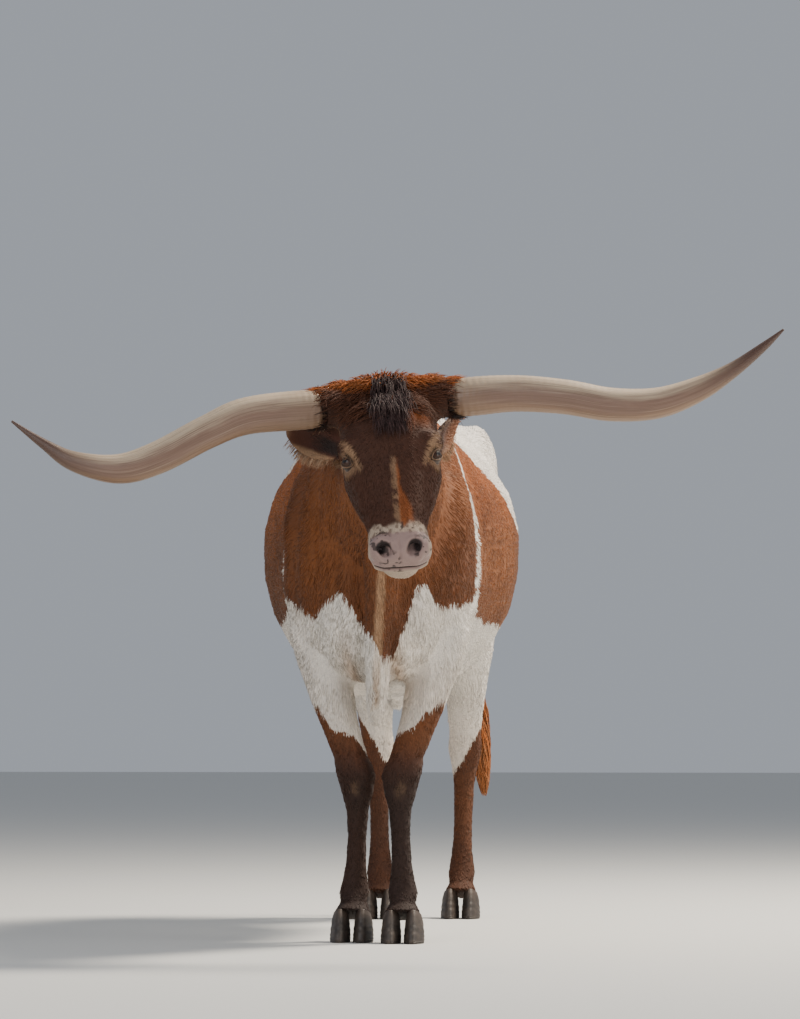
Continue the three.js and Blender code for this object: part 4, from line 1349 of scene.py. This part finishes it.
def dewclawRings():
    rows, columns = hoofLook["dewclawRows"], hoofLook["dewclawColumns"]
    share = np.linspace(0, 1, rows)
    turn = roundTurns(columns)
    s, t = np.meshgrid(share, turn, indexing="ij")
    # A blunt cone: wide at the skin, drawn down and back to a rounded end
    girth = np.sqrt(np.clip(1 - (1 - s) ** 2.4, 0.002, 1)) * (1 - 0.35 * smooth(0.55, 1, s))
    girth = girth * (1 + 0.03 * np.sin(s * 38))
    outline = (0.011 * girth * np.cos(t), 0.010 * girth * np.sin(t) - 0.006 * s, 0.030 * s)
    return np.stack(outline, -1), s


hoofFinish = hoofMaterial()
for foot in ("front_left", "front_right", "hind_left", "hind_right"):
    for part in ("outer", "inner"):
        leftSide = foot.endswith("left")
        facing = -1 if (part == "outer") == leftSide else 1
        makeHoof("claw_" + foot + "_" + part, *clawRings(facing))
        makeHoof("dewclaw_" + foot + "_" + part, *dewclawRings())
print("hooves are made")


# Coat: tufts and locks of solid mesh, rooted on the skin and lying along it

def hairLie(points, normals):
    # The way the hair runs: back and down on the sides, down on the chest, legs and tail, and
    # round the whorl on the forehead; turned a little by noise so that it lies in streaks
    body, head = toBody(points), toHead(points)
    x, y, z = body.T
    low = smooth(0.78, 0.62, z)
    front = smooth(0.05, -0.25, y)
    flow = np.stack((0 * x, 1 - 0.9 * low, -0.42 - 0.5 * low - 0.8 * front), -1)
    # On the face: away from the whorl above the eyes, and back and down on cheeks and jaw
    fromWhorl = np.stack((head[:, 0] * 0.9, 0 * x, head[:, 2] + 0.115), -1)
    spun = np.stack((-fromWhorl[:, 2], 0 * x, fromWhorl[:, 0]), -1)
    whorled = (unit(fromWhorl) + 0.5 * unit(spun)
               * np.exp(-(np.linalg.norm(fromWhorl, axis=1) / 0.05))[:, None])
    cheek = smooth(-0.035, 0.02, head[:, 1])[:, None]
    onFace = unit(whorled) * (1 - cheek) + np.array((0, 0.85, -0.5)) * cheek
    share = smooth(0.16, 0.09, head[:, 1] + 0.25 * head[:, 2] + 0.02)[:, None]
    flow = flow + (onFace @ headTurn.T - flow) * share
    spot = toHorn(points)
    for ear in ears.values():
        t, gap, _ = earPlace(spot, normals, ear)
        on = (smooth(0.05, 0.25, t) * smooth(0.08, 0.06, gap) * (t < 1.3))[:, None]
        outward = unit(np.array(ear["tip"]) - np.array(ear["root"])) @ hornTurn.T
        flow = flow + (outward - flow) * on
    flow = flow - normals * (flow * normals).sum(1, keepdims=True)
    flow = unit(flow)
    side = np.cross(flow, normals)
    loose = 1 - headShare(points) * 0.5
    turn = ((0.24 * noise(points, 0.11, 51) + 0.13 * noise(points, 0.032, 52)) * loose
            * (1 - 0.5 * low))
    return unit(flow * np.cos(turn)[:, None] + side * np.sin(turn)[:, None])


def scatter(weight, count, rng):
    # Roots spread over the skin's triangles by area times weight
    corners = skinPoints[skinTriangles]
    area = np.linalg.norm(np.cross(corners[:, 1] - corners[:, 0], corners[:, 2] - corners[:, 0]),
                          axis=1)
    area = area * weight[skinTriangles].mean(1)
    steps = np.cumsum(area)
    pick = np.searchsorted(steps, (np.arange(count) + rng.random(count)) / count * steps[-1])
    pick = np.minimum(pick, len(skinTriangles) - 1)
    first, second = np.sqrt(rng.random(count)), rng.random(count)
    shares = np.stack((1 - first, first * (1 - second), first * second), -1)[..., None]
    roots = (corners[pick] * shares).sum(1)
    normals = unit((skinNormals[skinTriangles[pick]] * shares).sum(1))
    order = rng.permutation(count)
    return roots[order], normals[order]


def unwrap(points):
    # A place from 0 to 1 on an unwrap of the skin: trunk and neck round their length, each leg
    # round its height, the head round its length, side by side on the sheet
    body, head = toBody(points), toHead(points)
    x, y, z = body.T
    u = 0.02 + 0.60 * np.clip((y + 0.45) / 2.05, 0, 1)
    v = 0.02 + 0.95 * (np.arctan2(z - 0.98, x) / (2 * math.pi) % 1.0)
    leg = z < 0.62
    corner = (x > 0) * 1 + (y > 0.6) * 2
    centreX = np.where(x > 0, 0.11, -0.11)
    centreY = np.where(y > 0.6, 1.39, -0.02)
    u = np.where(leg, 0.65 + 0.15 * np.clip(z / 0.62, 0, 1), u)
    about = np.arctan2(y - centreY, x - centreX) / (2 * math.pi) % 1.0
    v = np.where(leg, 0.02 + 0.235 * (corner + about * 0.95), v)
    onHead = headShare(points) > 0.5
    u = np.where(onHead, 0.83 + 0.15 * np.clip((0.12 - head[:, 2]) / 0.66, 0, 1), u)
    about = np.arctan2(head[:, 1] - 0.03, head[:, 0]) / (2 * math.pi) % 1.0
    v = np.where(onHead, 0.02 + 0.95 * about, v)
    return np.stack((u, v), -1)


def lockFaces(rings):
    # Triangles of one lock: three-sided rings (left, right, top), a cap at the root and a point
    faces = [(1, 2, 0)]
    for k in range(rings - 1):
        left, right, top = 3 * k, 3 * k + 1, 3 * k + 2
        faces += [(right, right + 3, top + 3), (right, top + 3, top), (left, top, top + 3),
                  (left, top + 3, left + 3), (left, left + 3, right + 3), (left, right + 3, right)]
    left, right, top, tip = 3 * rings - 3, 3 * rings - 2, 3 * rings - 1, 3 * rings
    return np.array(faces + [(right, tip, top), (left, top, tip), (left, tip, right)])


def makeLocks(name, paths, widths, normals, marks, tone, thick=0.38, down=None):
    # Locks along paths (locks, stations, 3): each station but the last is a triangle across the
    # path, half its width to each side and thick * width high; the last is the point
    count, stations = paths.shape[:2]
    rings = stations - 1
    ahead = unit(np.gradient(paths, axis=1))[:, :rings]
    side = unit(np.cross(ahead, normals[:, None]))
    above = np.cross(side, ahead)
    middle, half = paths[:, :rings], widths[..., None] / 2
    ring = np.stack((middle - side * half, middle + side * half,
                     middle + above * widths[..., None] * thick), 2)
    vertices = np.concatenate((ring.reshape(count, rings * 3, 3), paths[:, -1:]), 1)
    per = rings * 3 + 1
    faces = lockFaces(rings)
    triangles = (faces[None] + (np.arange(count) * per)[:, None, None]).reshape(-1, 3)
    obj = trianglesMesh(name, vertices.reshape(-1, 3), triangles)
    roots = paths[:, 0]
    down = downwardShare(roots) if down is None else down
    paintCoat(obj, [np.repeat(part, per, 0) for part in marks], np.repeat(tone, per),
              np.repeat(down, per))
    # Baking place: a patch 0.003 across at the root's place on the skin's unwrap
    patch = np.zeros((per, 2))
    patch[:-1, 0] = np.repeat(np.arange(rings) / rings, 3)
    patch[:-1, 1] = np.tile((0.0, 1.0, 0.5), rings)
    patch[-1] = (1.0, 0.5)
    uv = (unwrap(roots)[:, None] + 0.003 * patch[None]).reshape(-1, 2)[triangles.ravel()]
    layer = obj.data.uv_layers.new(name="OFBake")
    layer.data.foreach_set("uv", uv.astype(np.float32).ravel())
    obj.data.materials.append(coat)
    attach(obj, "root")


shortCoat = {
    # region: how many tufts, length, width, lift of the point
    "coatTrunkLeftFore": (16000, 0.0215, 0.0037, 0.0024),
    "coatTrunkLeftRear": (16000, 0.0215, 0.0037, 0.0022),
    "coatTrunkRightFore": (16000, 0.0215, 0.0037, 0.0024),
    "coatTrunkRightRear": (16000, 0.0215, 0.0037, 0.0022),
    "coatNeck": (16500, 0.0225, 0.0032, 0.0028),
    "coatHead": (17000, 0.0115, 0.0022, 0.0020),
    "coatForelegs": (9000, 0.0115, 0.0026, 0.0017),
    "coatHindlegs": (9000, 0.0125, 0.0028, 0.0017),
}


def regionWeights():
    # Where each region's hair may root: not on bare hide, lips, nose, horns or hooves
    body = toBody(skinPoints)
    x, y, z = body.T
    head = toHead(skinPoints)
    onHead = headShare(skinPoints)
    spot = toHorn(skinPoints)
    haired = 1 - smooth(0.2, 0.6, skinMarks[3])
    haired *= smooth(0.0035, 0.006, mouthGap(head) + 0.1 * (1 - onHead))
    haired *= 1 - onHead * smooth(-0.405, -0.415, head[:, 2]) * smooth(0.05, 0.03, head[:, 1])
    haired *= smooth(0.185, 0.172, np.abs(spot[:, 0])) + (1 - onHead)
    haired = np.clip(haired, 0, 1) * smooth(0.064, 0.068, z)
    leg = (z < 0.60) * (y < 1.5)
    trunk = (1 - onHead) * (1 - leg)
    neck = trunk * (y < 0.02)
    trunk = trunk * (y >= 0.02)
    parts = {
        "coatTrunkLeftFore": trunk * (x >= 0) * (y < 0.72),
        "coatTrunkLeftRear": trunk * (x >= 0) * (y >= 0.72),
        "coatTrunkRightFore": trunk * (x < 0) * (y < 0.72),
        "coatTrunkRightRear": trunk * (x < 0) * (y >= 0.72),
        "coatNeck": neck,
        "coatHead": onHead,
        "coatForelegs": leg * (y < 0.6),
        "coatHindlegs": leg * (y >= 0.6),
    }
    return {name: weight * haired for name, weight in parts.items()}


def makeShortCoat():
    for order, (name, weight) in enumerate(regionWeights().items()):
        count, length, width, lift = shortCoat[name]
        rng = np.random.default_rng(100 + order)
        roots, normals = scatter(weight, count, rng)
        flow = hairLie(roots, normals)
        side = np.cross(flow, normals)
        body, head = toBody(roots), toHead(roots)
        grow = 0.75 + 0.5 * rng.random(count)
        onHead = headShare(roots)
        muzzle = onHead * smooth(-0.33, -0.38, head[:, 2])
        grow *= 1 - 0.5 * muzzle
        grow *= 1 - 0.3 * smooth(0.30, 0.12, body[:, 2]) * (1 - onHead)
        grow *= 1 + 0.25 * smooth(0.82, 0.72, body[:, 2]) * smooth(0.55, 0.65, body[:, 2])
        grow = grow[:, None]
        wide = width * (0.75 + 0.5 * rng.random(count)) * (1 - 0.35 * muzzle)
        bend = (rng.random(count) - 0.5)[:, None] * 0.22
        rise = lift * (0.5 + 0.9 * rng.random(count))[:, None]
        stations = []
        for t in (0.0, 0.5, 1.0):
            across = flow * t + side * bend * t * t
            stations.append(roots + across * length * grow + normals * (rise * t ** 1.4 - 0.0008))
        paths = np.stack(stations, 1)
        widths = np.stack((wide * 0.9, wide), -1)
        clump = noise(roots * np.array((1, 0.45, 1)), 0.03, 61)
        tone = 0.93 + 0.13 * clump + 0.16 * (rng.random(count) - 0.5)
        makeLocks(name, paths, widths, normals, coatMarks(roots, normals), tone)
    print("short coat is laid")


def curled(roots, flow, normals, length, stations, rng, lift=0.01, droop=0.0, curl=0.003, turns=1.5,
           arch=0.62):
    # A lock runs along the flow, rises, droops with t squared, and winds round itself
    count = len(roots)
    t = np.linspace(0, 1, stations)[None, :, None]
    side = np.cross(flow, normals)[:, None]
    phase = rng.random(count)[:, None, None] * 2 * math.pi
    spin = phase + 2 * math.pi * turns * t * (0.7 + 0.6 * rng.random(count))[:, None, None]
    size = length[:, None, None]
    path = roots[:, None] + flow[:, None] * size * t
    path = path + normals[:, None] * (lift * np.sin(t * math.pi * arch) - 0.001)
    path = path - np.array((0, 0, 1.0)) * droop * size * t * t
    reach = curl * smooth(0.0, 0.4, t)
    return path + reach * (np.cos(spin) * side + np.sin(spin) * normals[:, None])


def taper(width, stations, rng, count):
    # Widths along each lock: full near the root, falling to the point
    share = np.linspace(0, 1, stations - 1)
    body = np.sqrt(np.clip(1 - share ** 2.2, 0.08, 1)) * (0.7 + 0.3 * smooth(0, 0.2, share))
    return width * (0.7 + 0.6 * rng.random(count))[:, None] * body[None]


def plainMarks(roots, name, second=None, share=0.0):
    # The coat's values for locks of one colour, or two mixed, whatever the markings under them
    colour = np.tile(np.array(colours[name]), (len(roots), 1))
    if second:
        colour = mix(colour, second, np.broadcast_to(share, (len(roots),)))
    flat = np.zeros(len(roots))
    return [colour, colour, flat + 0.1, flat]


def tinted(marks, name, share):
    # Both coat colours drawn towards a third
    return [mix(marks[0], name, share)] * 2 + marks[2:]


def combed(flow, turn, normals, spread, rng, press=0.9):
    # Directions given in a turned frame, each off its way a little, then laid along the skin
    flow = flow + spread * (rng.random((len(flow), 3)) - 0.5)
    flow = unit(flow @ turn.T)
    if press:
        flow = unit(flow - press * normals * (flow * normals).sum(1, keepdims=True))
    return flow


pollHair = {
    "topknot": {"locks": 1400, "length": 0.066, "width": 0.0026, "curl": 0.0026, "turns": 1.3},
    "crown": {"locks": 2100, "length": 0.040, "width": 0.0026, "curl": 0.0022, "turns": 1.0},
    "hornRoot": {"locks": 1300, "length": 0.030, "width": 0.0026, "curl": 0.0012, "turns": 0.8},
}


def makePollHair():
    rng = np.random.default_rng(7)
    head = toHead(skinPoints)
    spot = toHorn(skinPoints)
    onHead = headShare(skinPoints)
    faceUp = (skinNormals @ hornTurn)[:, 2]
    faceFront = -(skinNormals @ headTurn)[:, 1]
    # Crown: rusty hair over the poll and the tops of the horn roots, combed out towards the horns
    look = pollHair["crown"]
    weight = onHead * smooth(-0.2, 0.4, faceUp) * smooth(-0.045, -0.015, spot[:, 2]) \
        * smooth(0.172, 0.165, np.abs(spot[:, 0])) * smooth(0.12, 0.09, spot[:, 1])
    weight = weight * (1 - 0.85 * smooth(0.042, 0.030, np.abs(head[:, 0] - 0.006))
                       * smooth(0.01, -0.02, spot[:, 1]))
    roots, normals = scatter(weight, look["locks"], rng)
    place = toHorn(roots)
    out = smooth(0.0, 0.06, np.abs(place[:, 0])) * np.sign(place[:, 0])
    flow = np.stack((out * 1.0, -0.45 - 0.3 * rng.random(len(roots)), 0.30 * (1 - np.abs(out))), -1)
    flow = combed(flow, hornTurn, normals, 0.30, rng)
    length = look["length"] * (0.6 + 0.7 * rng.random(len(roots)))
    rise = 0.006 * smooth(0.13, 0.03, np.abs(place[:, 0])) + 0.004
    paths = curled(roots, flow, normals, length, 8, rng, rise[:, None, None], 0.12, look["curl"],
                   look["turns"])
    marks = plainMarks(roots, "rust", "brown", smooth(0.1, 0.8, rng.random(len(roots))) * 0.85)
    # Lower on the crown, most of all towards the horns, the locks turn deep brown: darker hair,
    # deepened by painted shade about the horns' feet
    low = smooth(0.048, 0.020, place[:, 2] - 0.10 * np.abs(place[:, 0]))
    marks = tinted(marks, "deepBrown", 0.92 * low)
    makeLocks("coatCrown", paths, taper(look["width"], 8, rng, len(roots)), normals, marks,
              0.8 + 0.45 * rng.random(len(roots)))
    # Topknot: dark curls from the top of the poll down over the forehead, fanning out
    look = pollHair["topknot"]
    weight = (onHead * smooth(0.3, 0.7, faceFront + 0.5 * faceUp)
              * smooth(0.037, 0.026, np.abs(head[:, 0] - 0.008))
              * smooth(-0.105, -0.08, head[:, 2]) * smooth(0.062, 0.045, head[:, 2]))
    roots, normals = scatter(weight, look["locks"], rng)
    place = toHead(roots)
    flow = np.stack(((place[:, 0] - 0.004) * 6, -0.25 + 0 * place[:, 0], -1 + 0 * place[:, 0]), -1)
    flow = combed(flow, headTurn, normals, 0.32, rng)
    length = (look["length"] * (0.6 + 0.8 * rng.random(len(roots)))
              * (1 - 0.35 * smooth(-0.04, -0.11, place[:, 2])))
    paths = curled(roots, flow, normals, length, 11, rng, 0.015, 0.16, look["curl"], look["turns"],
                   0.86)
    marks = plainMarks(roots, "purple", "black", 0.6 * rng.random(len(roots)))
    # Rust on the left of the topknot is painted sunlight on the lit side
    rusty = smooth(0.03, 0.06, place[:, 0]) * smooth(-0.03, -0.06, place[:, 2])
    marks = tinted(marks, "rust", 0.8 * rusty)
    makeLocks("coatTopknot", paths, taper(look["width"], 11, rng, len(roots)), normals, marks,
              0.65 + 0.5 * rng.random(len(roots)) ** 2)
    # Ring of hair over each horn root: rusty on top, near black elsewhere, the near black deepened
    # by painted shade about the horn's foot
    look = pollHair["hornRoot"]
    weight = (onHead * smooth(0.140, 0.150, np.abs(spot[:, 0]))
              * smooth(0.180, 0.175, np.abs(spot[:, 0])))
    weight = weight * (np.hypot(spot[:, 1] - 0.007, spot[:, 2]) < 0.060)
    roots, normals = scatter(weight, look["locks"], rng)
    place = toHorn(roots)
    flow = np.stack((np.sign(place[:, 0]), 0 * place[:, 0], 0 * place[:, 0]), -1)
    flow = combed(flow, hornTurn, normals, 0.28, rng, 0)
    length = look["length"] * (0.6 + 0.8 * rng.random(len(roots)))
    paths = curled(roots, flow, normals, length, 6, rng, 0.006, 0.08, look["curl"], look["turns"])
    top = smooth(0.015, 0.035, place[:, 2])
    marks = plainMarks(roots, "black", "deepBrown", 0.7 * rng.random(len(roots)))
    marks = tinted(marks, "rust", 0.85 * top)
    makeLocks("coatHornRoots", paths, taper(look["width"], 6, rng, len(roots)), normals, marks,
              0.8 + 0.4 * rng.random(len(roots)))
    print("hair of the poll is laid")


earHair = {"locks": 700, "length": 0.017, "width": 0.0017, "curl": 0.0012, "turns": 0.8}


def makeEarHair():
    rng = np.random.default_rng(17)
    spot = toHorn(skinPoints)
    for name, ear in ears.items():
        t, gap, inward = earPlace(spot, skinNormals, ear)
        on = (t > 0.06) * (t < 1.15) * smooth(0.078, 0.066, gap)
        rim = (on * smooth(0.62, 0.30, np.abs(inward))
               * (0.35 + smooth(0.02, -0.03, spot[:, 2] + 0.09)))
        drop = ear["root"][2] + t * (ear["tip"][2] - ear["root"][2]) - spot[:, 2]
        weight = rim * (0.04 + smooth(0.012, 0.026, drop)) * smooth(0.18, 0.32, t)
        count = earHair["locks"]
        roots, normals = scatter(weight, count, rng)
        facing = unit(np.array(ear["facing"])) @ hornTurn.T
        outward = unit(np.array(ear["tip"]) - np.array(ear["root"])) @ hornTurn.T
        flow = (0.35 * facing + 0.75 * outward + np.array((0, 0, -0.55))
                + 0.35 * (rng.random((count, 3)) - 0.5))
        flow = unit(flow + 0.45 * normals)
        length = earHair["length"] * (0.6 + 0.9 * rng.random(count))
        paths = curled(roots, flow, normals, length, 7, rng, 0.002, 0.25, earHair["curl"],
                       earHair["turns"])
        marks = plainMarks(roots, "tan", "cream", 0.6 * rng.random(count))
        marks = tinted(marks, "brown", 0.55 * rng.random(count))
        makeLocks("coatEar" + name.capitalize(), paths, taper(earHair["width"], 7, rng, count),
                  normals, marks,
                  0.8 + 0.4 * rng.random(count))
    print("ear hair is laid")


lashLook = {"count": 46, "length": 0.013, "width": 0.0008}


def makeLashes():
    rng = np.random.default_rng(23)
    paths, widths, normals = [], [], []
    for side in (-1, 1):
        middle, axis, noseward, up = eyeFrame(side)
        count = lashLook["count"]
        turn = np.radians(np.linspace(14, 166, count) + 3 * rng.random(count))
        q = 1.10 + 0.12 * rng.random(count)
        forward, rise = lids["length"] * q * np.cos(turn), lids["height"] * 1.05 * q * np.sin(turn)
        lateral = np.hypot(forward, rise)
        depth = np.sqrt((lids["ball"] + lids["rim"] - 0.0005) ** 2 - lateral ** 2)
        root = middle + depth[:, None] * axis + forward[:, None] * noseward + rise[:, None] * up
        ray = unit(root - middle)
        go = ray * 0.8 + up * 0.45 + noseward * (0.5 * np.cos(turn))[:, None]
        go = unit(go + 0.15 * (rng.random((count, 3)) - 0.5))
        size = (lashLook["length"] * (0.7 + 0.5 * rng.random(count)))[:, None, None]
        t = np.linspace(0, 1, 5)[None, :, None]
        path = root[:, None] + go[:, None] * size * t + up * size * 0.25 * t * t
        path = path - np.array((0, 0, 1)) * size * 0.15 * t
        paths.append(fromHead(path.reshape(-1, 3)).reshape(path.shape))
        normals.append(ray @ headTurn.T)
        widths.append(taper(lashLook["width"], 5, rng, count))
    paths, widths, normals = np.concatenate(paths), np.concatenate(widths), np.concatenate(normals)
    makeLocks("coatLashes", paths, widths, normals, plainMarks(paths[:, 0], "black"),
              np.ones(len(paths)), thick=0.8)
    print("lashes are set")


switchRun = [(0.090, 1.592, 0.745, 0.014), (0.102, 1.592, 0.712, 0.018),
             (0.120, 1.592, 0.650, 0.025),
             (0.136, 1.590, 0.570, 0.031), (0.145, 1.588, 0.480, 0.029),
             (0.150, 1.586, 0.390, 0.019),
             (0.153, 1.585, 0.334, 0.004)]
switchLook = {
    "locks": 1500,
    "stations": 10,
    "width": 0.0052,
    "wave": 0.007,
    "coreRows": 60,
    "coreColumns": 32,
    "coreShare": (0.62, 0.35),  # of the switch's radius, top and foot
}


def makeSwitch():
    rng = np.random.default_rng(31)
    count, stations = switchLook["locks"], switchLook["stations"]
    begin = np.clip(rng.random(count) * 0.75 - 0.02, 0, 0.72)
    reach = np.minimum(0.25 + 0.3 * rng.random(count), 0.84 + 0.16 * rng.random(count) - begin)
    t = np.linspace(0, 1, stations)[None]
    share = begin[:, None] + reach[:, None] * t
    run = along(switchRun, share)
    angle = ((rng.random(count) * 2 * math.pi)[:, None]
             + 0.7 * np.sin(t * 4 + 6 * rng.random(count)[:, None]))
    deep = (0.25 + 0.62 * np.sqrt(rng.random(count)))[:, None]
    radius = (run[..., 3] * deep * (0.75 + 0.30 * t)
              + switchLook["wave"] * 0.5 * np.sin(9 * t + 9 * deep))
    ring = np.stack((np.cos(angle), np.sin(angle), 0 * angle), -1)
    paths = run[..., :3] + ring * radius[..., None] + feetOrigin
    marks = plainMarks(paths[:, 0], "rust", "tan", 0.60 * rng.random(count))
    marks = tinted(marks, "brown", 0.35 + 0.6 * rng.random(count))
    makeLocks("switchHair", paths, taper(switchLook["width"], stations, rng, count), ring[:, 4],
              marks,
              0.75 + 0.5 * rng.random(count), down=np.ones(count))
    # A core fills the middle of the switch, so that no light shows through
    rows = along(switchRun, np.linspace(0, 0.88, switchLook["coreRows"]))
    turn = roundTurns(switchLook["coreColumns"])
    circle = np.stack((np.cos(turn), np.sin(turn), 0 * turn), -1)
    girth = rows[:, 3:4] * np.linspace(*switchLook["coreShare"], switchLook["coreRows"])[:, None]
    core = closedTube("switchCore", rows[:, None, :3] + circle * girth[:, None] + feetOrigin)
    count = len(core.data.vertices)
    # The core is darker than the locks: painted shade deep in the switch
    marks = plainMarks(np.zeros((count, 3)), "brown", "rust", 0.3)
    paintCoat(core, marks, np.full(count, 0.7), np.ones(count))
    core.data.materials.append(coat)
    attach(core, "root")
    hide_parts("tail_switch")
    print("switch is hung")


makeShortCoat()
makePollHair()
makeEarHair()
makeLashes()
makeSwitch()
print("coat is done")
